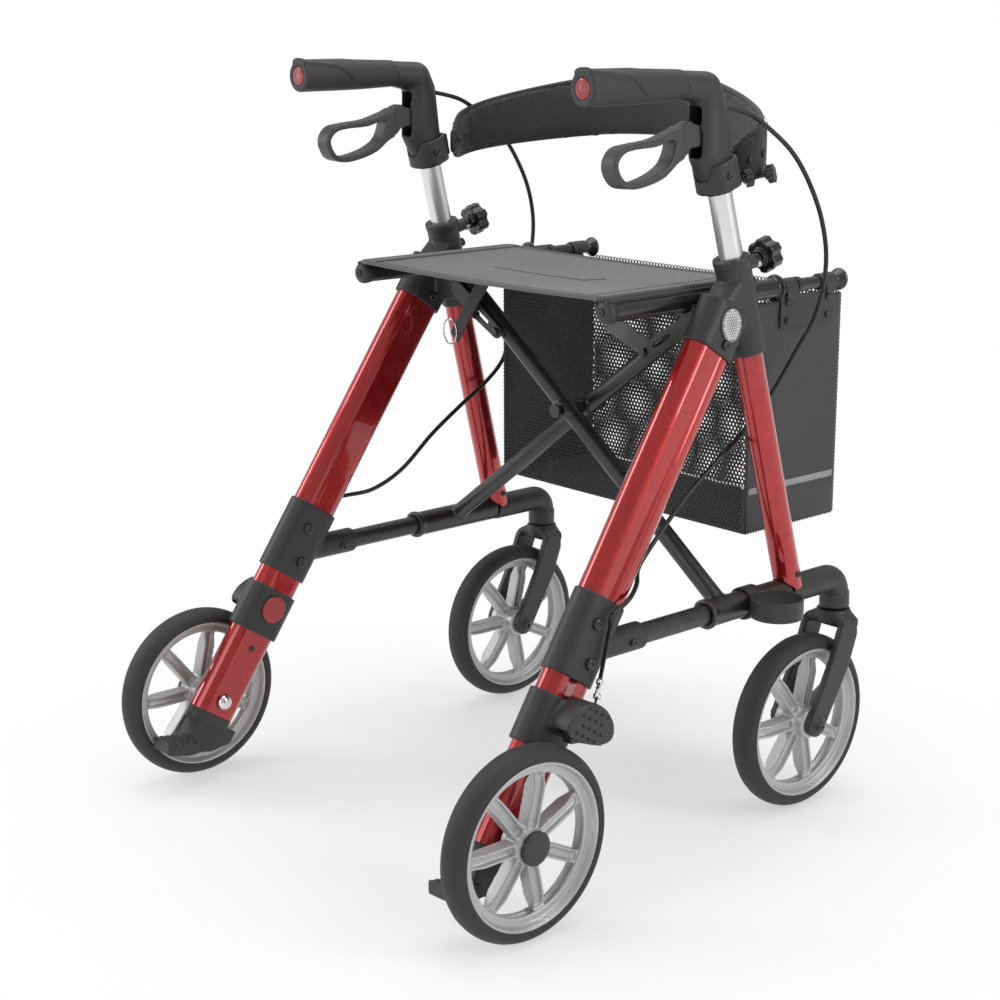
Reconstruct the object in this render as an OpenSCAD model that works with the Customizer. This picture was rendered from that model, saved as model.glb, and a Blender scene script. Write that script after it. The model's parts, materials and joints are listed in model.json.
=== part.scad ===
/* [Overall] */
// Distance from the centre plane to each side frame at the floor
foot_x = 252.4; // [240:0.2:265]
// Inward lean of each side frame, in degrees
lean = 1.7; // [1:0.1:2.4]
// Height of the lower side tubes
side_tube_z = 258; // [254:0.5:262]
// Height of the seat rails when the walker stands open
rail_z = 586; // [582:0.5:590]
// Distance from the centre plane to each seat rail
rail_x = 199; // [196:0.5:202]

/* [Wheels] */
// Diameter of all four wheels
wheel_d = 200; // [196:1:204]
// Radius of the tyre's round section
tyre_r = 16; // [14:0.5:17]
// Distance from the centre plane to the middle of each rear wheel
rear_wheel_x = 288.3; // [286:0.1:292]
// Rear axle's place from front to back
rear_axle_y = -232.3; // [-236:0.1:-228]
// Caster stem's place from front to back
caster_stem_y = 278.3; // [276:0.1:281]
// Distance from the caster stem back to the caster wheel's axle
caster_trail = 55.7; // [50:0.1:58]
// Distance from the centre plane to the middle of each caster
caster_x = 245; // [244:0.1:246]
// Number of spokes in a wheel
spokes = 7; // [5:1:9]

/* [Legs and tubes] */
// Rake of the rear leg from upright, in degrees
leg_rake = 33.9; // [33:0.1:35]
// Depth of the rear leg's oval section
leg_depth = 58; // [54:1:60]
// Thickness of the rear leg's oval section
leg_thick = 30; // [28:1:32]
// Rake of the front tube and the height tube, in degrees
tube_rake = 14.58; // [14:0.02:15]
// Diameter of the red front tube
front_tube_d = 31; // [30.5:0.5:32]
// Diameter of the silver height tube
height_tube_d = 25; // [24:0.5:25.5]
// Diameter of the crossed brace tubes
brace_d = 20; // [18:0.5:21]
// Wall of the aluminium tubes
tube_wall = 2; // [1.5:0.1:2.5]

/* [Seat and basket] */
// Seat's rear edge
seat_rear_y = -46; // [-50:1:-40]
// Seat's front edge
seat_front_y = 181; // [175:1:190]
// Thickness of the seat panel
seat_thick = 3.5; // [3:0.5:5]
// Height of the basket's floor
basket_floor_z = 316; // [310:1:330]
// Basket's rear face
basket_rear_y = 172; // [168:1:178]
// Basket's front face
basket_front_y = 326; // [320:1:332]

/* [Handles] */
// Length of the handgrip
grip_l = 131; // [125:1:140]
// Diameter of the handgrip
grip_d = 34; // [32:0.5:36]
// Diameter of the cane holder's opening
cane_ring_d = 52; // [48:0.5:53]

/* [Hidden] */
$fn = 48;
fit = 0.05;
gap = 0.3;
wheel_r = wheel_d / 2;
rim_r = wheel_r - tyre_r + 2;
caster_axle_y = caster_stem_y - caster_trail;
pivot_x = foot_x - side_tube_z * sin(lean);
pivot_z = side_tube_z * cos(lean);
brace_rise = atan2(rail_z - pivot_z, rail_x + pivot_x);
cross_z = pivot_z + pivot_x * tan(brace_rise);
rail_offset = (rail_x - foot_x) * cos(lean) + rail_z * sin(lean);
rail_rise = (foot_x - rail_x) * sin(lean) + rail_z * cos(lean);
brace_y_a = 93.3;
brace_y_b = 127.3;
leg_mid = [-90, 308.8];
leg_bottom_z = 84.8;
leg_top_z = 574;
tube_ref = [195.7, 273.3];
stem_slot = 16.4;
lever_pivot = [55, 757];
knob_z = 618;
grip_z = 808;
grip_front_y = 25;
band_z = [703, 752];
link_y_right = 107;
link_y_left = 76.5;
link_pin = [105, 516];
link_eye = [180, 560];
lock_pivot = [117, 543];
shoe_pivot = [-130, 180];
cable_d = 5;
cane_at = [286.3, 131, 251];
// Screw heads on each side frame, as [x, y, z, head diameter]
screws = [
    [18.6, leg_y(545) + 6, 546, 9],
    [18.6, leg_y(289) - 8, 289, 9],
    [18.6, leg_y(252) + 6, 250, 9],
    [14.6, -57, 257, 8],
    [15.8, 196, 279, 6]
];
screw_shank_d = 4;
screw_shank_l = 9;

// Places along the raked members, as [y, z] in a side frame's own plane
function leg_y(z) = leg_mid[0] + (z - leg_mid[1]) * tan(leg_rake);
function tube_y(z) = tube_ref[0] - (z - tube_ref[1]) * tan(tube_rake);
function leg_len(z1, z2) = (z2 - z1) / cos(leg_rake);
function tube_len(z1, z2) = (z2 - z1) / cos(tube_rake);

// A smooth closed outline through a few points
function spline(p, i, t) =
    let (n = len(p), a = p[(i + n - 1) % n], b = p[i % n], c = p[(i + 1) % n], d = p[(i + 2) % n])
    0.5 * (2 * b + (c - a) * t + (2 * a - 5 * b + 4 * c - d) * t * t + (3 * b - a - 3 * c + d) * t * t * t);
function closed_curve(p, k) = [for (i = [0:len(p) - 1]) for (j = [0:k - 1]) spline(p, i, j / k)];

// A smooth open route through a few points
function open_at(p, i) = p[max(0, min(len(p) - 1, i))];
function open_spline(p, i, t) =
    let (a = open_at(p, i - 1), b = open_at(p, i), c = open_at(p, i + 1), d = open_at(p, i + 2))
    0.5 * (2 * b + (c - a) * t + (2 * a - 5 * b + 4 * c - d) * t * t + (3 * b - a - 3 * c + d) * t * t * t);
function open_curve(p, k) =
    concat([for (i = [0:len(p) - 2]) for (j = [0:k - 1]) open_spline(p, i, j / k)], [p[len(p) - 1]]);
function unit(v) = v / norm(v);

// Mirrors a right-hand part for the left side
module on(side) {
    if (side == "left") mirror([1, 0, 0]) children();
    else children();
}

// Puts a part that is drawn in the side frame's own plane where that frame stands
module framed(side) {
    on(side) translate([foot_x, 0, 0]) rotate([0, -lean, 0]) children();
}

module along_leg(z) {
    translate([0, leg_y(z), z]) rotate([-leg_rake, 0, 0]) children();
}

module along_tube(z) {
    translate([0, tube_y(z), z]) rotate([tube_rake, 0, 0]) children();
}

module along_y(y, z, x = 0) {
    translate([x, y, z]) rotate([-90, 0, 0]) children();
}

module along_x(x, y, z) {
    translate([x, y, z]) rotate([0, 90, 0]) children();
}

module oval(depth, thick) {
    square([thick, depth - thick], center = true);
    for (s = [-1, 1]) translate([0, s * (depth - thick) / 2]) circle(d = thick);
}

module oval_ring(depth, thick, wall) {
    difference() {
        oval(depth, thick);
        oval(depth - 2 * wall, thick - 2 * wall);
    }
}

// Extrudes an outline drawn as [y, z] to a thickness along X, centred on x
module plate_yz(x, thick) {
    translate([x - thick / 2, 0, 0]) rotate([90, 0, 90]) linear_extrude(thick) children();
}

// Extrudes an outline drawn as [x, z] to a thickness along Y, from y forwards
module plate_xz(y, thick) {
    translate([0, y + thick, 0]) rotate([90, 0, 0]) linear_extrude(thick) children();
}

module sweep(route, d, sides) {
    n = len(route);
    function tangent(i) = unit(route[min(n - 1, i + 1)] - route[max(0, i - 1)]);
    function sideways(i) = unit(cross(tangent(i), [1, 0.12, 0.07]));
    function ring(i) =
        let (s = sideways(i), u = cross(s, tangent(i)))
        [for (k = [0:sides - 1]) route[i] + d / 2 * (cos(360 * k / sides) * s + sin(360 * k / sides) * u)];
    points = [for (i = [0:n - 1]) for (p = ring(i)) p];
    walls = [for (i = [0:n - 2]) for (k = [0:sides - 1])
        let (a = i * sides + k, b = i * sides + (k + 1) % sides)
        [a, b, b + sides, a + sides]];
    first = [for (k = [sides - 1:-1:0]) k];
    last = [for (k = [0:sides - 1]) (n - 1) * sides + k];
    polyhedron(points = points, faces = concat(walls, [first, last]), convexity = 4);
}

// ---- Rigid side frame ----

module leg(side) {
    color("firebrick") framed(side) difference() {
        along_leg(leg_bottom_z) linear_extrude(leg_len(leg_bottom_z, leg_top_z))
            oval_ring(leg_depth, leg_thick, tube_wall);
        along_tube(500) cylinder(d = front_tube_d + 2 * gap, h = tube_len(500, 660));
        along_x(-leg_thick, rear_axle_y, wheel_r) cylinder(d = 12, h = 2 * leg_thick);
        for (i = [0:2]) screw_hole(screws[i]);
    }
}

module front_tube(side) {
    color("firebrick") framed(side) difference() {
        along_tube(262) difference() {
            cylinder(d = front_tube_d, h = tube_len(262, 600));
            translate([0, 0, -1]) cylinder(d = front_tube_d - 2 * tube_wall, h = tube_len(262, 602) + 2);
        }
        along_y(100, side_tube_z) cylinder(d = 31.4, h = 190);
        screw_hole(screws[4]);
    }
}

module head(side) {
    saddle_y = side == "left" ? 106 : 70;
    eye_y = side == "left" ? link_y_left + 2.6 + gap : link_y_right + 4 + 2 * gap;
    eye_thick = side == "left" ? 3.2 : 6;
    color([0.16, 0.16, 0.165]) framed(side) difference() {
        union() {
            along_tube(531) cylinder(d = 38, h = tube_len(531, 632));
            along_tube(625) cylinder(d = 40, h = 8);
            along_leg(538.5) linear_extrude(52) oval(leg_depth + 6.4, leg_thick + 6);
            hull() {
                along_leg(573) translate([0, 2, 0]) cylinder(d = 34.6, h = 6, $fn = 32);
                along_leg(560) translate([0, -12, 0]) cylinder(d = 34, h = 5, $fn = 32);
                along_tube(609) cylinder(d = 35, h = 4, $fn = 32);
                along_tube(571) cylinder(d = 35.4, h = 4, $fn = 32);
            }
            translate([0, tube_y(knob_z), knob_z]) rotate([tube_rake - 90, 0, 0]) cylinder(d = 15, h = 33);
            translate([0, tube_y(598), 598]) rotate([tube_rake - 90, 0, 0]) cylinder(d = 11, h = 27);
            translate([rail_offset, saddle_y, rail_rise]) rail_saddle(-rail_offset);
            if (side == "left") lock_pin();
            translate([0, eye_y + eye_thick, 0]) rotate([90, 0, 0]) linear_extrude(eye_thick) hull() {
                translate([-34, 543]) square([20, 31.5]);
                translate([-59, link_eye[1] - 3]) circle(r = 8, $fn = 32);
            }
        }
        screw_hole(screws[0]);
        along_tube(500) cylinder(d = height_tube_d + 2 * fit, h = 160);
        along_tube(500) cylinder(d = front_tube_d + 2 * fit, h = tube_len(500, 600) + gap);
        along_leg(500) linear_extrude(leg_len(500, leg_top_z) + 0.1)
            oval(leg_depth + 2 * fit, leg_thick + 2 * fit);
        translate([0, tube_y(knob_z), knob_z]) rotate([tube_rake - 90, 0, 0]) cylinder(d = 8.1, h = 40);
    }
}

// Headed pin that the fold lock turns on
module lock_pin() {
    along_x(-29.5, lock_pivot[0], lock_pivot[1]) cylinder(d = 6, h = 15.5);
    along_x(-29.5, lock_pivot[0], lock_pivot[1]) cylinder(d = 10, h = 2.4);
}

// Cradle that the seat rail rests in, reaching inwards from the head
module rail_saddle(reach) {
    difference() {
        union() {
            translate([-13, 0, -17]) cube([reach - 4, 34, 10]);
            translate([-13, 0, -17]) cube([26, 34, 15]);
        }
        translate([0, -1, 0]) rotate([-90, 0, 0]) cylinder(r = 11 + gap + 0.2, h = 40);
        translate([-11.5, -1, 0]) cube([23, 40, 10]);
    }
}

module leg_bracket(side) {
    color([0.15, 0.15, 0.155]) framed(side) difference() {
        union() {
            along_leg(235.5) linear_extrude(leg_len(235.5, 308.5)) oval(leg_depth + 5.6, leg_thick + 6);
            along_y(-118, side_tube_z) cylinder(d = 29, h = 82.3);
            hull() {
                along_y(-95, side_tube_z) cylinder(d = 28.6, h = 4, $fn = 32);
                along_leg(262) cylinder(d = 34, h = 3, $fn = 32);
                along_leg(294) translate([0, 11, 0]) cylinder(d = 29, h = 3, $fn = 32);
            }
        }
        along_leg(200) linear_extrude(200) oval(leg_depth + 2 * fit, leg_thick + 2 * fit);
        along_y(-80, side_tube_z) cylinder(d = 22 + 2 * fit, h = 80);
        for (i = [1:3]) screw_hole(screws[i]);
    }
}

module side_tube(side) {
    color([0.13, 0.13, 0.135]) framed(side) difference() {
        along_y(-78, side_tube_z) cylinder(d = 22, h = 298);
        along_y(-79, side_tube_z) cylinder(d = 18, h = 300);
        screw_hole(screws[3]);
    }
}

module elbow(side) {
    bend_r = 17;
    color([0.15, 0.15, 0.155]) difference() {
        framed(side) difference() {
            union() {
                along_y(193, side_tube_z) cylinder(d = 31, h = caster_stem_y - bend_r - 193);
                translate([0, caster_stem_y - bend_r, side_tube_z - bend_r]) rotate([0, -90, 0])
                    rotate_extrude(angle = 90) translate([bend_r, 0]) circle(d = 31);
                translate([0, caster_stem_y, 223]) cylinder(d = 34, h = 18);
            }
            along_y(190, side_tube_z) cylinder(d = 22 + 2 * fit, h = 32);
            along_tube(255) cylinder(d = front_tube_d - 2 * tube_wall, h = 12);
        }
        on(side) translate([caster_x, caster_stem_y, 215]) cylinder(d = 12 + 2 * fit, h = 36);
    }
}

module brake_housing(side) {
    color([0.14, 0.14, 0.145]) framed(side) difference() {
        union() {
            along_leg(172) linear_extrude(leg_len(172, 218)) oval(leg_depth + 8, leg_thick + 7);
            brake_cover();
        }
        along_leg(150) linear_extrude(120) oval(leg_depth + 2 * fit, leg_thick + 2 * fit);
        plate_yz(34.9, 17) polygon([[-175, 168], [-180, 200], [-132, 207], [-119.5, 190], [-119.5, 168]]);
    }
    color([0.14, 0.14, 0.145]) framed(side) along_x(25, shoe_pivot[0], shoe_pivot[1]) cylinder(d = 5, h = 20);
}

// Outer shell that covers the brake shoe beside the leg
module brake_cover() {
    outline = [[-178, 196], [-172, 212], [-148, 222], [-126, 210], [-116, 190], [-122, 176], [-146, 178]];
    plate_yz(30, 32) polygon(closed_curve(outline, 5));
}

module tipper(side) {
    color([0.13, 0.13, 0.135]) framed(side) {
        along_leg(leg_bottom_z) translate([0, 0, -14]) linear_extrude(14) oval(leg_depth, leg_thick);
        plate_yz(0, 24) polygon([[-262, 88], [-214, 57], [-222, 45], [-246, 41], [-284, 47], [-276, 66]]);
        plate_yz(0, 34) polygon([[-309, 53], [-309, 66], [-270, 60], [-262, 47], [-280, 46]]);
        plate_yz(0, 31) for (i = [0:4]) translate([-308.5 + 7.5 * i, 64 - 1.15 * i]) square([4, 3.4]);
    }
}

module screw(at) {
    along_x(at[0], at[1], at[2]) cylinder(d = at[3], h = 3);
    along_x(at[0] - screw_shank_l, at[1], at[2]) cylinder(d = screw_shank_d, h = screw_shank_l + 1);
}

module screw_hole(at) {
    along_x(at[0] - screw_shank_l - 1, at[1], at[2])
        cylinder(d = screw_shank_d + gap, h = screw_shank_l + 3);
}

module fasteners(side) {
    axle_out = rear_wheel_x - foot_x + wheel_r * tan(lean);
    color("silver") {
        framed(side) for (at = screws) screw(at);
        on(side) {
            along_x(rear_wheel_x - 62, rear_axle_y, wheel_r) cylinder(d = 10, h = 75);
            along_x(rear_wheel_x - 66, rear_axle_y, wheel_r) cylinder(d = 16, h = 8);
            along_x(rear_wheel_x - 21.5, rear_axle_y, wheel_r) cylinder(d = 25, h = 4);
        }
    }
}

module reflectors(side) {
    color([0.8, 0.8, 0.8]) framed(side) along_x(18.7, tube_y(567) - 37, 567) cylinder(d = 28, h = 2.4);
    color("red") framed(side) along_x(-21.5, leg_y(189), 189) cylinder(d = 26, h = 2.4);
}

// ---- Parts that slide or turn on the side frame ----

module height_tube(side) {
    color("silver") framed(side) along_tube(432) difference() {
        cylinder(d = height_tube_d, h = tube_len(432, 734));
        translate([0, 0, -1]) cylinder(d = height_tube_d - 2 * tube_wall, h = tube_len(432, 734) + 2);
    }
}

// A thin oval slice across the handle, tilted to follow its bend
module handle_slice(y, z, tilt, thick, depth) {
    translate([0, y, z]) rotate([tilt, 0, 0]) scale([thick / depth, 1, 1])
        cylinder(d = depth, h = 2, center = true, $fn = 32);
}

module handle(side) {
    color([0.16, 0.16, 0.165]) framed(side) difference() {
        union() {
            hull() {
                handle_slice(tube_y(701), 701, tube_rake, 32, 35);
                handle_slice(69, 741, tube_rake, 33, 52);
            }
            hull() {
                handle_slice(69, 741, tube_rake, 33, 52);
                handle_slice(66, 786, 18, 33, 44);
            }
            hull() {
                handle_slice(66, 786, 18, 33, 44);
                translate([0, 61, 803]) sphere(d = 35, $fn = 32);
            }
            hull() {
                translate([0, 61, 803]) sphere(d = 35, $fn = 32);
                handle_slice(grip_front_y + 1, grip_z - 0.5, 90, 30, 29);
            }
        }
        along_tube(690) cylinder(d = height_tube_d + 2 * fit, h = tube_len(690, 735));
        translate([-stem_slot / 2, 8, 735.5]) cube([stem_slot, 62, 51]);
    }
    color("silver") framed(side)
        along_x(-stem_slot / 2 - 4, lever_pivot[0], lever_pivot[1]) cylinder(d = 6, h = stem_slot + 8);
}

module grip(side) {
    neck = 15;
    r = grip_d / 2;
    profile = [
        [0, 0], [neck, 0], [neck + 0.3, 10], [r - 0.4, 45], [r, 75], [r, 100],
        [r + 1, 122], [r + 1.4, grip_l - 2], [r - 0.6, grip_l], [0, grip_l]
    ];
    color([0.15, 0.15, 0.155]) framed(side)
        translate([0, grip_front_y, grip_z]) rotate([90, 0, 0]) rotate_extrude() polygon(profile);
    color("red") framed(side)
        translate([0, grip_front_y - grip_l, grip_z]) rotate([90, 0, 0]) cylinder(d = 24, h = 0.8);
}

lever_outline = [
    [38, 772], [12, 764], [-14, 757], [-44, 754], [-64, 750], [-74, 735],
    [-66, 717], [-50, 711], [-28, 713], [-4, 720], [14, 732], [34, 744]
];
lever_opening = [
    [10, 755], [-16, 750], [-44, 748.5], [-60, 745], [-68, 735],
    [-61, 721], [-48, 717], [-29, 719.5], [-8, 726.5], [6, 737]
];

module brake_lever(side) {
    color([0.2, 0.2, 0.205]) framed(side) difference() {
        union() {
            plate_yz(0, 20) difference() {
                intersection() {
                    polygon(closed_curve(lever_outline, 6));
                    translate([-100, 690]) square([124, 100]);
                }
                polygon(closed_curve(lever_opening, 6));
            }
            plate_yz(0, 14) intersection() {
                polygon(closed_curve(lever_outline, 6));
                translate([22, 690]) square([24, 100]);
            }
            plate_yz(0, 14) polygon([[36, 746], [36, 771], [50, 768], [60, 764], [62, 754], [54, 748]]);
            along_x(-7, lever_pivot[0], lever_pivot[1]) cylinder(d = 19, h = 14);
        }
        along_x(-12, lever_pivot[0], lever_pivot[1]) cylinder(d = 6 + 2 * fit, h = 24);
    }
}

module knob(side) {
    color([0.12, 0.12, 0.125]) framed(side)
    translate([0, tube_y(knob_z), knob_z]) rotate([tube_rake - 90, 0, 0]) {
        translate([0, 0, 39]) cylinder(d = 18, h = 8);
        translate([0, 0, 44]) difference() {
            cylinder(d = 37, h = 15);
            for (a = [0:60:300]) rotate([0, 0, a]) translate([23, 0, -1]) cylinder(d = 15, h = 17);
        }
        translate([0, 0, 18]) cylinder(d = 8, h = 24);
    }
}

module fork(side) {
    color([0.14, 0.14, 0.145]) on(side) translate([caster_x, 0, 0]) difference() {
        union() {
            translate([0, caster_stem_y, 205]) cylinder(d = 38, h = 16.6);
            translate([0, caster_stem_y, 210]) cylinder(d = 12, h = 38);
            hull() {
                translate([-29, caster_stem_y - 14, 203]) cube([58, 24, 8]);
                translate([0, caster_stem_y, 217]) cylinder(d = 36, h = 2, $fn = 32);
            }
            for (s = [-1, 1]) hull() {
                along_x(s * 25.5 - 4, caster_stem_y - 7, 197) cylinder(r = 15.5, h = 8, $fn = 32);
                along_x(s * 25.5 - 4, caster_stem_y - 19, 165) cylinder(r = 15.5, h = 8, $fn = 32);
            }
            for (s = [-1, 1]) hull() {
                along_x(s * 25.5 - 4, caster_stem_y - 19, 165) cylinder(r = 15.5, h = 8, $fn = 32);
                along_x(s * 25.5 - 4, caster_axle_y, wheel_r) cylinder(r = 13.5, h = 8, $fn = 32);
            }
            along_x(-34, caster_axle_y, wheel_r) cylinder(d = 10, h = 68);
            for (s = [-1, 1]) along_x(s * 30.5 - 2, caster_axle_y, wheel_r) cylinder(d = 17, h = 4);
        }
        translate([-21, caster_axle_y - 60, 150]) cube([42, 90, 51]);
    }
}

module rim(hub_half) {
    difference() {
        union() {
            rotate_extrude($fn = 96) polygon([
                [rim_r - 13, -15.5], [rim_r, -15.5], [rim_r, 15.5], [rim_r - 13, 15.5],
                [rim_r - 13, 9], [rim_r - 9, 4], [rim_r - 9, -4], [rim_r - 13, -9]
            ]);
            translate([0, 0, -hub_half]) cylinder(d = 34, h = 2 * hub_half);
            for (i = [0:spokes - 1]) rotate([0, 0, i * 360 / spokes + 12]) difference() {
                translate([12, -7, -8.4]) cube([rim_r - 21, 14, 16.8]);
                for (s = [-1, 1]) translate([19, -4.5, s * 7.6 - 5]) cube([rim_r - 34, 9, 10]);
            }
        }
        translate([0, 0, -30]) cylinder(d = 10 + 2 * fit, h = 60);
    }
}

module tyre() {
    rotate_extrude($fn = 96) intersection() {
        translate([wheel_r - tyre_r, 0]) circle(r = tyre_r);
        translate([rim_r, -tyre_r]) square([tyre_r, 2 * tyre_r]);
    }
}

module caster_rim(side) {
    color([0.7, 0.7, 0.71]) on(side) along_x(caster_x, caster_axle_y, wheel_r) rim(20.5);
}

module caster_tyre(side) {
    color([0.2, 0.2, 0.2]) on(side) along_x(caster_x, caster_axle_y, wheel_r) tyre();
}

module rear_rim(side) {
    color([0.7, 0.7, 0.71]) on(side) along_x(rear_wheel_x, rear_axle_y, wheel_r) {
        rim(17);
        translate([0, 0, 13.2]) cylinder(d = 33, h = 5);
    }
}

module rear_tyre(side) {
    color([0.2, 0.2, 0.2]) on(side) along_x(rear_wheel_x, rear_axle_y, wheel_r) tyre();
}

module brake_shoe(side) {
    color([0.3, 0.3, 0.3]) framed(side) {
        plate_yz(35, 12) difference() {
            polygon([
                [-130, 172], [-122, 180], [-130, 190], [-160, 199], [-172, 195], [-171, 184.5], [-160, 183]
            ]);
            translate(shoe_pivot) circle(d = 5 + 2 * fit);
        }
    }
}

// ---- Folding cross brace ----

module brace_tube(y) {
    reach = norm([rail_x + pivot_x, rail_z - pivot_z]);
    translate([-pivot_x, y, pivot_z]) rotate([0, 90 - brace_rise, 0]) difference() {
        cylinder(d = brace_d, h = reach);
        translate([0, 0, -1]) cylinder(d = brace_d - 2 * tube_wall, h = reach + 2);
    }
}

// Brace B runs from the lower left tube to the right rail; brace A is its mirror image
module brace(y, sleeve_from, sleeve_to, link_y) {
    difference() {
        union() {
            brace_tube(y);
            along_y(sleeve_from, pivot_z, -pivot_x) cylinder(d = 29.4, h = sleeve_to - sleeve_from);
            along_y(sleeve_from, pivot_z, -pivot_x) cylinder(d = 33, h = 6);
            along_y(y - 12, cross_z) cylinder(d = 17, h = 24);
            along_y(link_y, link_pin[1], link_pin[0]) cylinder(d = 9, h = y - link_y);
        }
        along_y(sleeve_from - 1, pivot_z, -pivot_x)
            cylinder(d = 22 + 2 * fit, h = sleeve_to - sleeve_from + 2);
        along_y(y - 40, cross_z) cylinder(d = 8 + 2 * fit, h = 80);
        along_y(0, rail_z, rail_x) cylinder(d = 22 + 2 * fit, h = 250);
        along_y(link_y - 5, link_pin[1], link_pin[0]) cylinder(d = 6 + 2 * fit, h = 10);
    }
}

module brace_b() {
    color([0.13, 0.13, 0.135]) brace(brace_y_b, 61.5, 191.5, link_y_right + 4 + 2 * gap);
}

module brace_a() {
    color([0.13, 0.13, 0.135]) mirror([1, 0, 0]) brace(brace_y_a, 61.5, 191.5, link_y_left + 2.6 + 2 * gap);
}

module cross_bolt() {
    color([0.1, 0.1, 0.1]) {
        along_y(76, cross_z) cylinder(d = 8, h = 70);
        along_y(72, cross_z) cylinder(d = 16, h = 4);
        along_y(105.5, cross_z) cylinder(d = 16, h = 9.6);
        along_y(142, cross_z) cylinder(d = 14, h = 6);
    }
}

module guide_link(side) {
    y = side == "left" ? link_y_left : link_y_right;
    thick = side == "left" ? 2.6 : 4;
    run = link_eye - link_pin;
    color([0.12, 0.12, 0.125]) on(side) {
        difference() {
            plate_xz(y, thick) difference() {
                union() {
                    hull() {
                        translate(link_pin) circle(r = 8, $fn = 32);
                        translate(link_pin + 0.45 * run) circle(r = 10, $fn = 32);
                    }
                    hull() {
                        translate(link_pin + 0.45 * run) circle(r = 10, $fn = 32);
                        translate(link_eye + [-5, -3]) circle(r = 11, $fn = 32);
                    }
                }
                hull() for (t = [0.22, 0.5]) translate(link_pin + t * run) circle(r = 2.6, $fn = 16);
            }
            along_y(y - 1, link_pin[1], link_pin[0]) cylinder(d = 6 + 2 * fit, h = 10);
        }
    }
}

module rail(side) {
    color([0.12, 0.12, 0.125]) on(side) {
        along_y(-36, rail_z, rail_x) cylinder(d = 22, h = 250);
        along_y(-46, rail_z, rail_x) cylinder(d = 22.4, h = 10.5);
        along_y(211, rail_z, rail_x) cylinder(d = 30, h = 4);
        along_y(214, rail_z, rail_x) cylinder(d = 14, h = 103);
        along_y(313, rail_z, rail_x) cylinder(d1 = 16, d2 = 25, h = 7);
        along_y(320, rail_z, rail_x) cylinder(d = 25, h = 3);
    }
    if (side == "right") color([0.12, 0.12, 0.125]) link_stud(link_y_right, 4, 1);
    else color([0.12, 0.12, 0.125]) link_stud(link_y_left, 2.6, -1);
}

// Shoulder bolt that the guide link turns on
module link_stud(y, thick, s) {
    along_y(y - 0.3, link_pin[1], s * link_pin[0]) cylinder(d = 6, h = thick + 5);
    along_y(y - 4.3, link_pin[1], s * link_pin[0]) cylinder(d = 11, h = 4);
}

// ---- Soft parts ----

module seat() {
    color([0.25, 0.25, 0.25])
        translate([-rail_x - 2, seat_rear_y, rail_z + 11 + gap])
            cube([2 * rail_x + 4, seat_front_y - seat_rear_y, seat_thick]);
}

module basket() {
    half = rail_x + 1;
    top = rail_z - 16;
    color([0.2, 0.2, 0.2]) difference() {
        translate([-half, basket_rear_y, basket_floor_z])
            cube([2 * half, basket_front_y - basket_rear_y, top - basket_floor_z]);
        translate([-half + 2, basket_rear_y + 2, basket_floor_z + 2])
            cube([2 * half - 4, basket_front_y - basket_rear_y - 4, top - basket_floor_z]);
    }
}

module basket_hook(side) {
    on(side) {
        translate([rail_x + 1.3, 220, 541]) cube([2.2, 90, 36]);
        for (y = [224, 290]) translate([rail_x, y, rail_z]) difference() {
            union() {
                rotate([-90, 0, 0]) cylinder(r = 9.4, h = 18);
                translate([1.3, 0, -11.5]) cube([8.1, 18, 12]);
            }
            translate([0, -1, 0]) rotate([-90, 0, 0]) cylinder(r = 7.3, h = 20);
            translate([-12, -1, -20]) cube([13.3, 20, 20]);
        }
    }
}

module basket_hooks() {
    color([0.12, 0.12, 0.12]) {
        basket_hook("left");
        basket_hook("right");
    }
}

band_half = [
    [0, 240], [70, 234], [115, 218], [155, 197], [190, 170], [214, 140], [225, 112]
];

module backrest() {
    n = len(band_half);
    side_points = open_curve(band_half, 4);
    m = len(side_points);
    outer = concat([for (i = [m - 1:-1:1]) [-side_points[i][0], side_points[i][1]]], side_points);
    k = len(outer);
    function inward(i) =
        let (t = unit(outer[min(k - 1, i + 1)] - outer[max(0, i - 1)]))
        outer[i] + 10 * [t[1], -t[0]];
    inner = [for (i = [k - 1:-1:0]) inward(i)];
    color([0.13, 0.13, 0.13]) intersection() {
        translate([0, 0, 680]) linear_extrude(160) polygon(concat(outer, inner));
        translate([-300, 0, 0]) rotate([90, 0, 90]) linear_extrude(600)
            polygon([
                [96, band_z[0]], [118, band_z[0]], [250, band_z[0] + 38],
                [250, band_z[1] + 63], [118, band_z[1]], [96, band_z[1]]
            ]);
    }
}

module backrest_clamp(side) {
    color([0.14, 0.14, 0.145]) framed(side) difference() {
        union() {
            along_tube(703) linear_extrude(30) oval(49, 42);
            along_tube(705) translate([-6, 20, 0]) cube([9, 9, 26]);
        }
        hull() {
            handle_slice(tube_y(695), 695, tube_rake, 32.2, 35.2);
            handle_slice(69, 741, tube_rake, 33.2, 52.4);
        }
    }
}

// ---- Small parts ----

module lock_lever() {
    color([0.12, 0.12, 0.125]) framed("left") difference() {
        union() {
            plate_yz(-24, 5) hull() {
                translate(lock_pivot) circle(r = 9, $fn = 32);
                translate(lock_pivot + [-11, 15]) circle(r = 5, $fn = 32);
            }
            plate_yz(-24, 5) hull() {
                translate(lock_pivot) circle(r = 9, $fn = 32);
                translate(lock_pivot + [22, -26]) circle(r = 5, $fn = 32);
            }
        }
        along_x(-40, lock_pivot[0], lock_pivot[1]) cylinder(d = 6 + 2 * fit, h = 30);
    }
}

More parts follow.
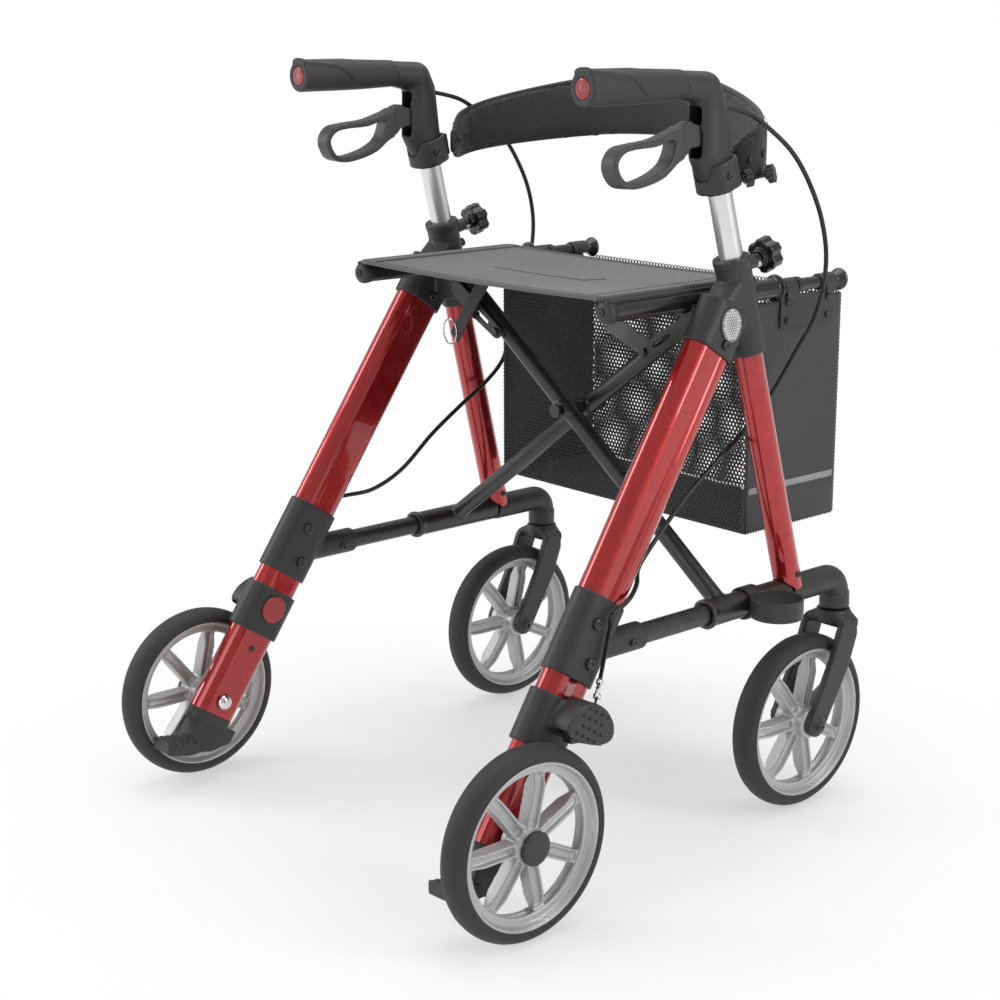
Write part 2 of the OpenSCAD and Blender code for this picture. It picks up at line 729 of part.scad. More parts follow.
module cane_holder() {
    collar_d = 36;
    width = 22;
    color([0.14, 0.14, 0.145]) difference() {
        union() {
            translate(cane_at) cylinder(d = cane_ring_d + 5, h = width);
            along_y(cane_at[1] - width / 2, pivot_z, pivot_x) cylinder(d = collar_d, h = width);
            translate([pivot_x + 10, cane_at[1] - width / 2, cane_at[2]]) cube([22, width, 18]);
        }
        translate(cane_at - [0, 0, 1]) cylinder(d = cane_ring_d, h = width + 2);
        translate([cane_at[0] - cane_ring_d / 2 - 0.6, cane_at[1] - width, cane_at[2] - width])
            cube([width, 2 * width, width]);
        along_y(cane_at[1] - width, pivot_z, pivot_x) cylinder(d = 29.4 + 2 * fit, h = 2 * width);
    }
}

route_right = [
    [229, 91, 784], [230, 130, 775], [231, 163, 757], [232, 196, 733], [233, 222, 702], [234, 243, 664],
    [235, 253, 624], [235, 250, 586], [234, 237, 552], [228, 217, 520], [219, 198, 484], [211, 180, 456],
    [209, 150, 432], [210, 112, 409], [211, 66, 379], [213, 20, 342], [224, -16, 321], [246, -41, 313],
    [264, -70, 307], [268.5, -97, 298]
];
route_left = [for (p = route_right) [-p[0], p[1], p[2]]];

module cable(side) {
    color([0.1, 0.1, 0.1]) sweep(open_curve(side == "left" ? route_left : route_right, 2), cable_d, 8);
}

leg("left");  // leg_left
leg("right");  // leg_right
front_tube("left");  // front_tube_left
front_tube("right");  // front_tube_right
head("left");  // head_left
head("right");  // head_right
leg_bracket("left");  // leg_bracket_left
leg_bracket("right");  // leg_bracket_right
side_tube("left");  // side_tube_left
side_tube("right");  // side_tube_right
elbow("left");  // elbow_left
elbow("right");  // elbow_right
brake_housing("left");  // brake_housing_left
brake_housing("right");  // brake_housing_right
tipper("left");  // tipper_left
tipper("right");  // tipper_right
fasteners("left");  // fasteners_left
fasteners("right");  // fasteners_right
reflectors("left");  // reflectors_left
reflectors("right");  // reflectors_right
height_tube("left");  // height_tube_left
height_tube("right");  // height_tube_right
handle("left");  // handle_left
handle("right");  // handle_right
grip("left");  // grip_left
grip("right");  // grip_right
brake_lever("left");  // brake_lever_left
brake_lever("right");  // brake_lever_right
knob("left");  // knob_left
knob("right");  // knob_right
fork("left");  // fork_left
fork("right");  // fork_right
caster_rim("left");  // caster_rim_left
caster_rim("right");  // caster_rim_right
caster_tyre("left");  // caster_tyre_left
caster_tyre("right");  // caster_tyre_right
rear_rim("left");  // rear_rim_left
rear_rim("right");  // rear_rim_right
rear_tyre("left");  // rear_tyre_left
rear_tyre("right");  // rear_tyre_right
cable("left");  // cable_left
cable("right");  // cable_right
brake_shoe("left");  // brake_shoe_left
brake_shoe("right");  // brake_shoe_right
guide_link("left");  // guide_link_left
guide_link("right");  // guide_link_right
brace_a();
brace_b();
cross_bolt();
rail("left");  // rail_left
rail("right");  // rail_right
seat();
basket();
basket_hooks();
backrest();
backrest_clamp("left");  // backrest_clamp_left
backrest_clamp("right");  // backrest_clamp_right
lock_lever();
cane_holder();
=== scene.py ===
# %% [markdown]
# # A folding rollator walker
#
# A rollator is a walking frame on four wheels with hand brakes, a seat and a basket. The rigid
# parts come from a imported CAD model, which is loaded as a fixed frame. This file gives them their
# moulded shapes, fabrics, paint and hardware, and each piece moves with the CAD body it belongs to.

import json
import math

import bmesh
import bpy
import numpy as np
from mathutils import Matrix, Vector

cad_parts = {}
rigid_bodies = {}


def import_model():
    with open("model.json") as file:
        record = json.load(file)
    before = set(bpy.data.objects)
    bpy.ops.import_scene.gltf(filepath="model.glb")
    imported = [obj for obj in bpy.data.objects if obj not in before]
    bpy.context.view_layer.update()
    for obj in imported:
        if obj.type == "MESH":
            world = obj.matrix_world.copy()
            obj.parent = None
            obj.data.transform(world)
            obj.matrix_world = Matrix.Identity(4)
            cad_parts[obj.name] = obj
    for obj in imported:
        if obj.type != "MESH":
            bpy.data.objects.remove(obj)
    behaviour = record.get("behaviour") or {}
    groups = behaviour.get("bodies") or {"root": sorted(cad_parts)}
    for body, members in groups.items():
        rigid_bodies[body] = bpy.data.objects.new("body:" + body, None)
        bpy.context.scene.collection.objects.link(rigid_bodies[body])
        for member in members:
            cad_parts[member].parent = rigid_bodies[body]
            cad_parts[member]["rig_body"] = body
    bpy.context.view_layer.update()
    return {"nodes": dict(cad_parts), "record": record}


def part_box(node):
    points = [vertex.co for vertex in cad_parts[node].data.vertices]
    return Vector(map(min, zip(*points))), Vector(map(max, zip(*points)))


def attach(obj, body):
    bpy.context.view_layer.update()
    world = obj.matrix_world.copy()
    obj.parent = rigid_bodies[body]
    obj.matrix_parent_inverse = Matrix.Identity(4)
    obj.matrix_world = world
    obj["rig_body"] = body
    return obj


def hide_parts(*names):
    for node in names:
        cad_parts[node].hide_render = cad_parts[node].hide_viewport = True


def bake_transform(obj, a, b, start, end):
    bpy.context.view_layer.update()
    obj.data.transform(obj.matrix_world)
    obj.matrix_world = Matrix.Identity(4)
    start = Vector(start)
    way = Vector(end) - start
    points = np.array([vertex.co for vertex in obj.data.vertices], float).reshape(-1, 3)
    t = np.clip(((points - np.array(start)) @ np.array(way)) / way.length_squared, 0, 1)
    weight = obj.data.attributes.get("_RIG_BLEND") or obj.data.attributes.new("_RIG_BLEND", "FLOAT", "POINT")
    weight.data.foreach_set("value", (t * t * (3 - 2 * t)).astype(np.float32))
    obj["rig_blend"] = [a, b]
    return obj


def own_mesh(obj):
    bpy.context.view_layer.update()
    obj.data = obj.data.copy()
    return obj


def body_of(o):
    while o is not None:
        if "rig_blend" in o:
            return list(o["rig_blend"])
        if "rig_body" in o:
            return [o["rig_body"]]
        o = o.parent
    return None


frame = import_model()
scene = bpy.context.scene
nodes = frame["nodes"]

# %% [markdown]
# ## The camera and the light
#
# The walker is seen from behind and to its right, a little above the seat. A long lens keeps the
# upright tubes nearly parallel. The light is a bright even surround with three large soft panels:
# a wide one overhead, and one on each side for the long streaks that glossy paint shows.

# %% Camera
EYE = Vector((1.56758, -1.38486, 0.88527))
AIM = Vector((0.08096, -0.08073, 0.37668))
ROLL = math.radians(-0.162)
LENS_MM = 69.48


def place_camera():
    data = bpy.data.cameras.new("viewpoint")
    data.lens = LENS_MM
    data.sensor_width = 36
    cam = bpy.data.objects.new("viewpoint", data)
    scene.collection.objects.link(cam)
    ahead = (AIM - EYE).normalized()
    right = ahead.cross(Vector((0, 0, 1))).normalized()
    up = right.cross(ahead)
    across = right * math.cos(ROLL) + up * math.sin(ROLL)
    above = up * math.cos(ROLL) - right * math.sin(ROLL)
    turn = Matrix((across, above, -ahead)).transposed()
    cam.matrix_world = Matrix.Translation(EYE) @ turn.to_4x4()
    scene.camera = cam
    return cam


place_camera()
print("camera at", EYE)

# %% Lights
scene.view_settings.view_transform = "Standard"


def softbox(name, place, aim, size, power):
    data = bpy.data.lights.new(name, "AREA")
    data.shape = "RECTANGLE"
    data.size, data.size_y = size
    data.energy = power
    lamp = bpy.data.objects.new(name, data)
    scene.collection.objects.link(lamp)
    lamp.location = place
    lamp.rotation_euler = (Vector(aim) - Vector(place)).to_track_quat("-Z", "Y").to_euler()
    return lamp


softbox("overhead_panel", (-0.2, 0.3, 2.6), (0, 0, 0.3), (2.2, 2.2), 30)
softbox("left_panel", (-2.2, -1.6, 1.5), (0, 0, 0.4), (0.7, 2.2), 26)
softbox("right_panel", (2.4, 0.9, 1.6), (0, 0, 0.4), (0.6, 2.2), 24)
softbox("rear_panel", (0.2, -2.8, 1.2), (0, 0, 0.4), (1.2, 1.4), 12)
world = bpy.data.worlds.new("studio")
scene.world = world
world.use_nodes = True
sky = world.node_tree.nodes["Background"]
sky.inputs["Color"].default_value = (1, 1, 1, 1)
seen = world.node_tree.nodes.new("ShaderNodeLightPath")
level = world.node_tree.nodes.new("ShaderNodeMapRange")
level.inputs["To Min"].default_value = 0.5
world.node_tree.links.new(seen.outputs["Is Camera Ray"], level.inputs["Value"])
world.node_tree.links.new(level.outputs["Result"], sky.inputs["Strength"])

# %% [markdown]
# ## Building materials from nodes
#
# Every finish is a shader with its own values, plus a few effects that many finishes share: a slow
# drift of tone, a moulded grain, wear on edges, and a weave. Each shared effect is one node group
# with named inputs, so a reader can follow it once and see it used everywhere.

# %% Node helpers


class Wires:
    """A short way to add nodes to one tree and join them."""

    def __init__(self, tree):
        self.tree = tree

    def add(self, kind, settings=None, **inputs):
        made = self.tree.nodes.new(kind)
        for key, value in (settings or {}).items():
            setattr(made, key, value)
        for key, value in inputs.items():
            self.feed(made, key.replace("_", " "), value)
        return made

    def feed(self, made, key, value):
        if isinstance(key, str) and key.startswith("in"):
            socket = made.inputs[int(key[2:])]
        else:
            socket = made.inputs[key]
        if isinstance(value, bpy.types.NodeSocket):
            self.tree.links.new(value, socket)
        else:
            socket.default_value = value

    def math(self, operation, a, b=0.0, c=0.0):
        made = self.tree.nodes.new("ShaderNodeMath")
        made.operation = operation
        for i, value in enumerate((a, b, c)):
            self.feed(made, f"in{i}", value)
        return made.outputs[0]

    def vector(self, operation, a, b=(0, 0, 0)):
        made = self.tree.nodes.new("ShaderNodeVectorMath")
        made.operation = operation
        self.feed(made, "in0", a)
        self.feed(made, "in1", b)
        return made.outputs["Value" if operation in ("DOT_PRODUCT", "LENGTH", "DISTANCE") else "Vector"]

    def fade(self, value, low, high, to_low=0.0, to_high=1.0):
        made = self.tree.nodes.new("ShaderNodeMapRange")
        made.interpolation_type = "SMOOTHSTEP"
        for i, x in enumerate((value, low, high, to_low, to_high)):
            self.feed(made, f"in{i}", x)
        return made.outputs[0]

    def mix(self, share, a, b):
        made = self.tree.nodes.new("ShaderNodeMix")
        made.data_type = "RGBA"
        self.feed(made, "in0", share)
        self.feed(made, "in6", a)
        self.feed(made, "in7", b)
        return made.outputs[2]


def shader_group(name, inputs, outputs, build):
    """A node group: inputs and outputs are (name, kind, default); build fills it."""
    tree = bpy.data.node_groups.new(name, "ShaderNodeTree")
    for label, kind, value in inputs:
        socket = tree.interface.new_socket(name=label, in_out="INPUT", socket_type=kind)
        if value is not None:
            socket.default_value = value
    for label, kind in outputs:
        tree.interface.new_socket(name=label, in_out="OUTPUT", socket_type=kind)
    w = Wires(tree)
    start, end = tree.nodes.new("NodeGroupInput"), tree.nodes.new("NodeGroupOutput")
    for label, socket in build(w, start.outputs).items():
        tree.links.new(socket, end.inputs[label])
    return tree


FLOAT = "NodeSocketFloat"

# %% Shared effects


def build_drift(w, given):
    """Slow clouds of tone and a fine speckle, from object coordinates."""
    place = w.add("ShaderNodeTexCoord").outputs["Object"]
    cloud = w.add("ShaderNodeTexNoise", Vector=place, Scale=given["Scale"], Detail=3.0, Roughness=0.6)
    fine = w.add("ShaderNodeTexNoise", Vector=place, Scale=given["Fine Scale"], Detail=2.0, Roughness=0.7)
    return {"Cloud": w.fade(cloud.outputs["Fac"], 0.3, 0.7), "Speckle": w.fade(fine.outputs["Fac"], 0.3, 0.7)}


def build_grain(w, given):
    """The fine spark-eroded grain that a mould leaves on plastic."""
    place = w.add("ShaderNodeTexCoord").outputs["Object"]
    cells = w.add("ShaderNodeTexVoronoi", {"feature": "SMOOTH_F1"}, Vector=place, Scale=given["Scale"],
                  Smoothness=0.6)
    noise = w.add("ShaderNodeTexNoise", Vector=place, Scale=given["Scale"], Detail=2.0)
    both = w.math("MULTIPLY_ADD", noise.outputs["Fac"], 0.6, cells.outputs["Distance"])
    return {"Height": w.math("MULTIPLY", both, given["Strength"])}


def build_edge_wear(w, given):
    """A mask along convex edges, broken up so that it looks rubbed."""
    place = w.add("ShaderNodeTexCoord").outputs["Object"]
    edge = w.fade(w.add("ShaderNodeNewGeometry").outputs["Pointiness"], 0.52, 0.6)
    rub = w.add("ShaderNodeTexNoise", Vector=place, Scale=90.0, Detail=4.0, Roughness=0.7)
    broken = w.fade(rub.outputs["Fac"], 0.42, 0.62)
    return {"Mask": w.math("MULTIPLY", w.math("MULTIPLY", edge, broken), given["Amount"])}


def build_dust(w, given):
    """Faint dust that lies on faces that look up."""
    place = w.add("ShaderNodeTexCoord").outputs["Object"]
    up = w.vector("DOT_PRODUCT", w.add("ShaderNodeNewGeometry").outputs["Normal"], (0, 0, 1))
    patch = w.add("ShaderNodeTexNoise", Vector=place, Scale=14.0, Detail=5.0, Roughness=0.65)
    mask = w.math("MULTIPLY", w.fade(up, 0.5, 1.0), w.fade(patch.outputs["Fac"], 0.4, 0.75))
    return {"Mask": w.math("MULTIPLY", mask, given["Amount"])}


def build_weave(w, given):
    """Over-and-under threads on the cloth's own UV map, which is laid out in metres."""
    uv = w.add("ShaderNodeUVMap", {"uv_map": "cloth"}).outputs["UV"]
    split = w.add("ShaderNodeSeparateXYZ", Vector=uv)
    across = w.math("MULTIPLY", split.outputs["X"], given["Threads"])
    along = w.math("MULTIPLY", split.outputs["Y"], given["Threads"])
    a = w.math("ABSOLUTE", w.math("SINE", w.math("MULTIPLY", across, math.pi)))
    b = w.math("ABSOLUTE", w.math("SINE", w.math("MULTIPLY", along, math.pi)))
    odd = w.math("ADD", w.math("FLOOR", across), w.math("FLOOR", along))
    over = w.math("FLOORED_MODULO", odd, 2.0)
    under = w.math("SUBTRACT", 1.0, over)
    height = w.math("ADD", w.math("MULTIPLY", a, over), w.math("MULTIPLY", b, under))
    return {"Height": height}


drift = shader_group("tone drift", [("Scale", FLOAT, 6.0), ("Fine Scale", FLOAT, 300.0)],
                     [("Cloud", FLOAT), ("Speckle", FLOAT)], build_drift)
grain = shader_group("moulded grain", [("Scale", FLOAT, 1400.0), ("Strength", FLOAT, 1.0)],
                     [("Height", FLOAT)], build_grain)
edge_wear = shader_group("edge wear", [("Amount", FLOAT, 0.5)], [("Mask", FLOAT)], build_edge_wear)
dust = shader_group("dust", [("Amount", FLOAT, 0.2)], [("Mask", FLOAT)], build_dust)
weave = shader_group("weave", [("Threads", FLOAT, 900.0)], [("Height", FLOAT)], build_weave)
print("shared effects:", [g.name for g in (drift, grain, edge_wear, dust, weave)])

# %% [markdown]
# ## The finishes
#
# A finish starts from a base tone and a lighter or darker second tone, a range of roughness, and a
# bump. The legs and front tubes are aluminium under candy-red lacquer: metallic, with a clear coat
# that holds long highlights. The plastics are charcoal, matt, and grained by their moulds. Bare
# aluminium is a satin metal. The wheels are silver-painted nylon in soft grey rubber.

# %% Finish maker


def shaded(name, tone, second, rough, metallic=0.0, grain_scale=1400.0, bump=0.15, wear=0.25, wear_tone=None,
           coat=0.0, coat_rough=0.05, sheen=0.0, dusty=0.12, specular=0.5):
    """A Principled material from a few plain values; returns (material, wires, shader, parts)."""
    material = bpy.data.materials.new(name)
    material.use_nodes = True
    w = Wires(material.node_tree)
    shader = material.node_tree.nodes["Principled BSDF"]
    shader.inputs["Metallic"].default_value = metallic
    shader.inputs["Coat Weight"].default_value = coat
    shader.inputs["Coat Roughness"].default_value = coat_rough
    shader.inputs["Sheen Weight"].default_value = sheen
    shader.inputs["Sheen Roughness"].default_value = 0.5
    shader.inputs["Specular IOR Level"].default_value = specular
    tones = w.add("ShaderNodeGroup", {"node_tree": drift}, Scale=7.0)
    colour = w.mix(w.math("MULTIPLY", tones.outputs["Cloud"], 0.7), (*tone, 1), (*second, 1))
    rubbed = w.add("ShaderNodeGroup", {"node_tree": edge_wear}, Amount=wear)
    light = wear_tone or tuple(min(1.0, 2.4 * x + 0.03) for x in tone)
    colour = w.mix(rubbed.outputs["Mask"], colour, (*light, 1))
    lying = w.add("ShaderNodeGroup", {"node_tree": dust}, Amount=dusty)
    colour = w.mix(lying.outputs["Mask"], colour, (0.22, 0.215, 0.21, 1))
    w.feed(shader, "Base Color", colour)
    polish = w.math("MULTIPLY_ADD", tones.outputs["Speckle"], (rough[1] - rough[0]) * 0.5, rough[0])
    polish = w.math("MULTIPLY_ADD", tones.outputs["Cloud"], (rough[1] - rough[0]) * 0.5, polish)
    w.feed(shader, "Roughness", w.math("MULTIPLY_ADD", lying.outputs["Mask"], 0.2, polish))
    texture = w.add("ShaderNodeGroup", {"node_tree": grain}, Scale=grain_scale, Strength=1.0)
    relief = w.add("ShaderNodeBump", Strength=bump, Distance=0.0003, Height=texture.outputs["Height"])
    w.feed(shader, "Normal", relief.outputs["Normal"])
    return material, w, shader, {"colour": colour, "relief": relief}


def finish(name, tone, second, rough, **looks):
    """The material alone, for a finish that needs no more nodes."""
    return shaded(name, tone, second, rough, **looks)[0]


# %% Metals, paint and plastics
red_paint = finish(
    "candy red lacquer", (0.42, 0.005, 0.007), (0.32, 0.003, 0.005), (0.2, 0.27), metallic=0.6,
    grain_scale=2600, bump=0.03, wear=0.12, wear_tone=(0.62, 0.05, 0.05), coat=1.0, coat_rough=0.04, dusty=0.03, specular=0.6)
charcoal = finish(
    "charcoal moulded nylon", (0.026, 0.026, 0.027), (0.020, 0.020, 0.021), (0.4, 0.5), bump=0.22, wear=0.15)
black_tube = finish(
    "black coated tube", (0.013, 0.013, 0.014), (0.018, 0.018, 0.019), (0.3, 0.4), grain_scale=2200, bump=0.1,
    wear=0.3, coat=0.25, coat_rough=0.3)
chrome = finish(
    "bright chrome", (0.78, 0.78, 0.79), (0.7, 0.7, 0.72), (0.08, 0.16), metallic=1.0, bump=0.03, wear=0.15,
    wear_tone=(0.9, 0.9, 0.9), dusty=0.0)
aluminium = finish(
    "satin anodised aluminium", (0.74, 0.74, 0.75), (0.68, 0.68, 0.7), (0.28, 0.38), metallic=1.0, bump=0.05,
    wear=0.2, wear_tone=(0.85, 0.85, 0.85), dusty=0.0)
silver = finish(
    "silver wheel paint", (0.50, 0.50, 0.505), (0.44, 0.44, 0.45), (0.36, 0.46), metallic=0.45,
    grain_scale=1700, bump=0.16, wear=0.25, wear_tone=(0.65, 0.65, 0.65), dusty=0.1)
tyre_rubber = finish(
    "grey tyre rubber", (0.026, 0.026, 0.027), (0.032, 0.032, 0.033), (0.54, 0.66), grain_scale=900, bump=0.25,
    wear=0.05, dusty=0.12, specular=0.4)
grip_rubber = finish(
    "soft grip rubber", (0.030, 0.030, 0.031), (0.036, 0.036, 0.037), (0.5, 0.62), grain_scale=1900, bump=0.35,
    wear=0.12, specular=0.45)
lever_plastic = finish(
    "lever grey nylon", (0.045, 0.045, 0.047), (0.037, 0.037, 0.039), (0.4, 0.5), bump=0.2, wear=0.3)
gloss_black = finish(
    "gloss black nylon", (0.010, 0.010, 0.011), (0.015, 0.015, 0.016), (0.2, 0.32), bump=0.06, wear=0.2,
    coat=0.3)
cable_skin = finish(
    "cable sheath", (0.009, 0.009, 0.009), (0.013, 0.013, 0.013), (0.34, 0.46), bump=0.06, wear=0.0)
red_lens = finish(
    "red reflector lens", (0.36, 0.012, 0.012), (0.28, 0.008, 0.008), (0.22, 0.34), bump=0.1, wear=0.1,
    coat=0.6)
clear_lens = finish(
    "silver reflector lens", (0.62, 0.62, 0.63), (0.5, 0.5, 0.52), (0.2, 0.32), metallic=0.3, bump=0.05,
    wear=0.1, coat=0.8)
lens_back = finish(
    "reflector backing", (0.20, 0.20, 0.205), (0.16, 0.16, 0.165), (0.3, 0.4), bump=0.05, wear=0.0, coat=0.6)
FINISH_OF_SLOT = {
    "candy_red": red_paint, "black_moulding": charcoal, "black_tube": black_tube, "chrome_fastener": chrome,
    "reflector": clear_lens, "cable_sheath": cable_skin, "satin_aluminium": aluminium,
    "grip_rubber": grip_rubber, "lever_grey": lever_plastic, "brake_metal": black_tube,
    "silver_rim": silver, "tyre_grey": tyre_rubber, "seat_fabric": charcoal, "basket_mesh": charcoal,
    "backrest_pad": charcoal,
}
for row in frame["record"]["subparts"]:
    node = nodes[row["node"]]
    node.data.materials.clear()
    node.data.materials.append(FINISH_OF_SLOT[row["material_slot"]])
print("finished", len(nodes), "nodes")

# %% [markdown]
# ## The walker's own measurements
#
# Each side frame is drawn flat, as Y and Z in its own plane, and leans inwards by a small angle.
# The same few numbers place every screw, lens and casting, so they are worth having as functions:
# one turns a point in the side plane into a point of the whole walker, and two follow the raked leg
# and the raked tube. Sizes are in millimetres here and become metres at the last moment.

# %% Places on a side frame
LEAN = math.radians(1.7)
LEG_RAKE = math.radians(33.9)
TUBE_RAKE = math.radians(14.58)
FOOT_X = 252.4
SIDES = ("left", "right")


def leg_y(z):
    return -90 + (z - 308.8) * math.tan(LEG_RAKE)


def tube_y(z):
    return 195.7 - (z - 273.3) * math.tan(TUBE_RAKE)


def place(side, x, y, z):
    """A point in a side frame's plane, in millimetres, as a point of the walker in metres."""
    across = FOOT_X + x * math.cos(LEAN) - z * math.sin(LEAN)
    up = x * math.sin(LEAN) + z * math.cos(LEAN)
    return Vector((across if side == "right" else -across, y, up)) / 1000


def facing(side, x, y, z):
    """A direction in a side frame's plane as a direction of the walker."""
    across = x * math.cos(LEAN) - z * math.sin(LEAN)
    up = x * math.sin(LEAN) + z * math.cos(LEAN)
    return Vector((across if side == "right" else -across, y, up)).normalized()


def smoothstep(t):
    t = max(0.0, min(1.0, t))
    return t * t * (3 - 2 * t)


# %% Making a piece


def piece(name, mesh, material, body, slot, replaces=()):
    """Turns a mesh into a finished piece that rides on a body."""
    made = bpy.data.objects.new(name, mesh)
    scene.collection.objects.link(made)
    mesh.name = name
    mesh.materials.clear()
    mesh.materials.append(material)
    for face in mesh.polygons:
        face.use_smooth = True
    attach(made, body)
    if replaces:
        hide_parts(*replaces)
    return made


def mesh_of(name, points, faces):
    mesh = bpy.data.meshes.new(name)
    mesh.from_pydata([tuple(p) for p in points], [], faces)
    mesh.update()
    return mesh


def outward(mesh):
    """Merges doubles and turns every face outwards."""
    bm = bmesh.new()
    bm.from_mesh(mesh)
    bmesh.ops.remove_doubles(bm, verts=bm.verts, dist=1e-6)
    bmesh.ops.recalc_face_normals(bm, faces=bm.faces)
    bm.to_mesh(mesh)
    bm.free()
    return mesh


def evaluated(source, name):
    """The mesh that an object's modifiers give, as a plain mesh; the object is then removed."""
    bpy.context.view_layer.update()
    graph = bpy.context.evaluated_depsgraph_get()
    mesh = bpy.data.meshes.new_from_object(source.evaluated_get(graph), depsgraph=graph)
    mesh.name = name
    bpy.data.objects.remove(source)
    return mesh


def join_meshes(meshes):
    bm = bmesh.new()
    for mesh in meshes:
        bm.from_mesh(mesh)
    joined = bpy.data.meshes.new("joined")
    bm.to_mesh(joined)
    bm.free()
    return joined


# %% [markdown]
# ## Moulded castings
#
# The heads, brackets, forks and handles are nylon mouldings. A real moulding has no sharp corner
# anywhere: ribs run into walls through small fillets, and edges are rounded so that the part leaves
# its mould. Filleting each edge by hand would take many steps. Instead the CAD solid is recast as a
# fine even skin with the Remesh modifier, and the Smooth modifier relaxes that skin by a
# fraction of a millimetre, which rounds every edge and fills every inner corner at once.

# %% Recasting a CAD solid


def recast(node, voxel, rounds):
    """A smooth-edged copy of a CAD node, on a grid of the voxel's size, relaxed for some rounds."""
    bm = bmesh.new()
    bm.from_mesh(nodes[node].data)
    bmesh.ops.remove_doubles(bm, verts=bm.verts, dist=2e-6)
    solid = bpy.data.meshes.new(node + "_solid")
    bm.to_mesh(solid)
    bm.free()
    holder = bpy.data.objects.new(node + "_holder", solid)
    scene.collection.objects.link(holder)
    skin = holder.modifiers.new("skin", "REMESH")
    skin.mode = "VOXEL"
    skin.voxel_size = voxel
    relax = holder.modifiers.new("relax", "SMOOTH")
    relax.factor = 0.5
    relax.iterations = rounds
    return evaluated(holder, node + "_cast")


# %% Lathe and sweep helpers


def lathe(profile, segments, axis, centre, hexed=()):
    """Turns a profile of (along, radius) round an axis; rings named in hexed are made hexagonal."""
    axis = Vector(axis).normalized()
    side = axis.orthogonal().normalized()
    other = axis.cross(side)
    centre = Vector(centre)
    points, faces, rings = [], [], []
    for k, (along, radius) in enumerate(profile):
        if radius < 1e-9:
            rings.append([len(points)])
            points.append(centre + axis * along)
            continue
        ring = []
        for i in range(segments):
            angle = 2 * math.pi * i / segments
            r = radius
            if k in hexed:
                r *= math.cos(math.pi / 6) / math.cos((angle % (math.pi / 3)) - math.pi / 6)
            ring.append(len(points))
            points.append(centre + axis * along + (side * math.cos(angle) + other * math.sin(angle)) * r)
        rings.append(ring)
    for a, b in zip(rings, rings[1:]):
        for i in range(segments):
            j = (i + 1) % segments
            if len(a) == 1 and len(b) > 1:
                faces.append((a[0], b[i], b[j]))
            elif len(b) == 1 and len(a) > 1:
                faces.append((a[i], b[0], a[j]))
            elif len(a) > 1:
                faces.append((a[i], b[i], b[j], a[j]))
    return outward(mesh_of("lathe", points, faces))


def smooth_route(points, steps):
    """A Catmull-Rom curve through points."""
    out = []
    n = len(points)
    for i in range(n - 1):
        a, b, c, d = (Vector(points[max(0, min(n - 1, i + k))]) for k in (-1, 0, 1, 2))
        for j in range(steps):
            t = j / steps
            out.append(0.5 * (2 * b + (c - a) * t + (2 * a - 5 * b + 4 * c - d) * t * t
                              + (3 * b - a - 3 * c + d) * t ** 3))
    out.append(Vector(points[-1]))
    return out


def tube(route, radius, sides=12, up=(0, 0, 1)):
    """A round bar along a route; radius may be a number or a list."""
    n = len(route)
    radii = radius if isinstance(radius, (list, tuple)) else [radius] * n
    points, faces = [], []
    side = None
    for i, p in enumerate(route):
        ahead = (route[min(n - 1, i + 1)] - route[max(0, i - 1)]).normalized()
        if side is None:
            side = ahead.cross(Vector(up))
            side = side.normalized() if side.length > 1e-3 else ahead.orthogonal().normalized()
        side = (side - ahead * side.dot(ahead)).normalized()
        other = ahead.cross(side)
        for k in range(sides):
            angle = 2 * math.pi * k / sides
            points.append(p + (side * math.cos(angle) + other * math.sin(angle)) * radii[i])
    for i in range(n - 1):
        for k in range(sides):
            a, b = i * sides + k, i * sides + (k + 1) % sides
            faces.append((a, b, b + sides, a + sides))
    faces.append(tuple(range(sides - 1, -1, -1)))
    faces.append(tuple(range((n - 1) * sides, n * sides)))
    return outward(mesh_of("tube", points, faces))


def soft_edges(mesh, width, segments=3):
    """Rounds the sharp edges of a mesh with the Bevel modifier."""
    holder = bpy.data.objects.new("edge_holder", mesh)
    scene.collection.objects.link(holder)
    bevel = holder.modifiers.new("round", "BEVEL")
    bevel.width = width
    bevel.segments = segments
    bevel.limit_method = "ANGLE"
    bevel.angle_limit = math.radians(40)
    return evaluated(holder, "rounded")


# %% [markdown]
# ## Repeating small parts with Geometry Nodes
#
# Screws, rivets, dots, stitches and prisms are the same small part many times over. One node tree
# does them all: it takes a cloud of points, puts the small part on each, turns the part's Z to the
# point's stored facing and its X to the stored direction, then realizes the instances so that the
# result is an ordinary mesh. The tree's inputs are named, so each use only says what differs.

# %% The repeating tree


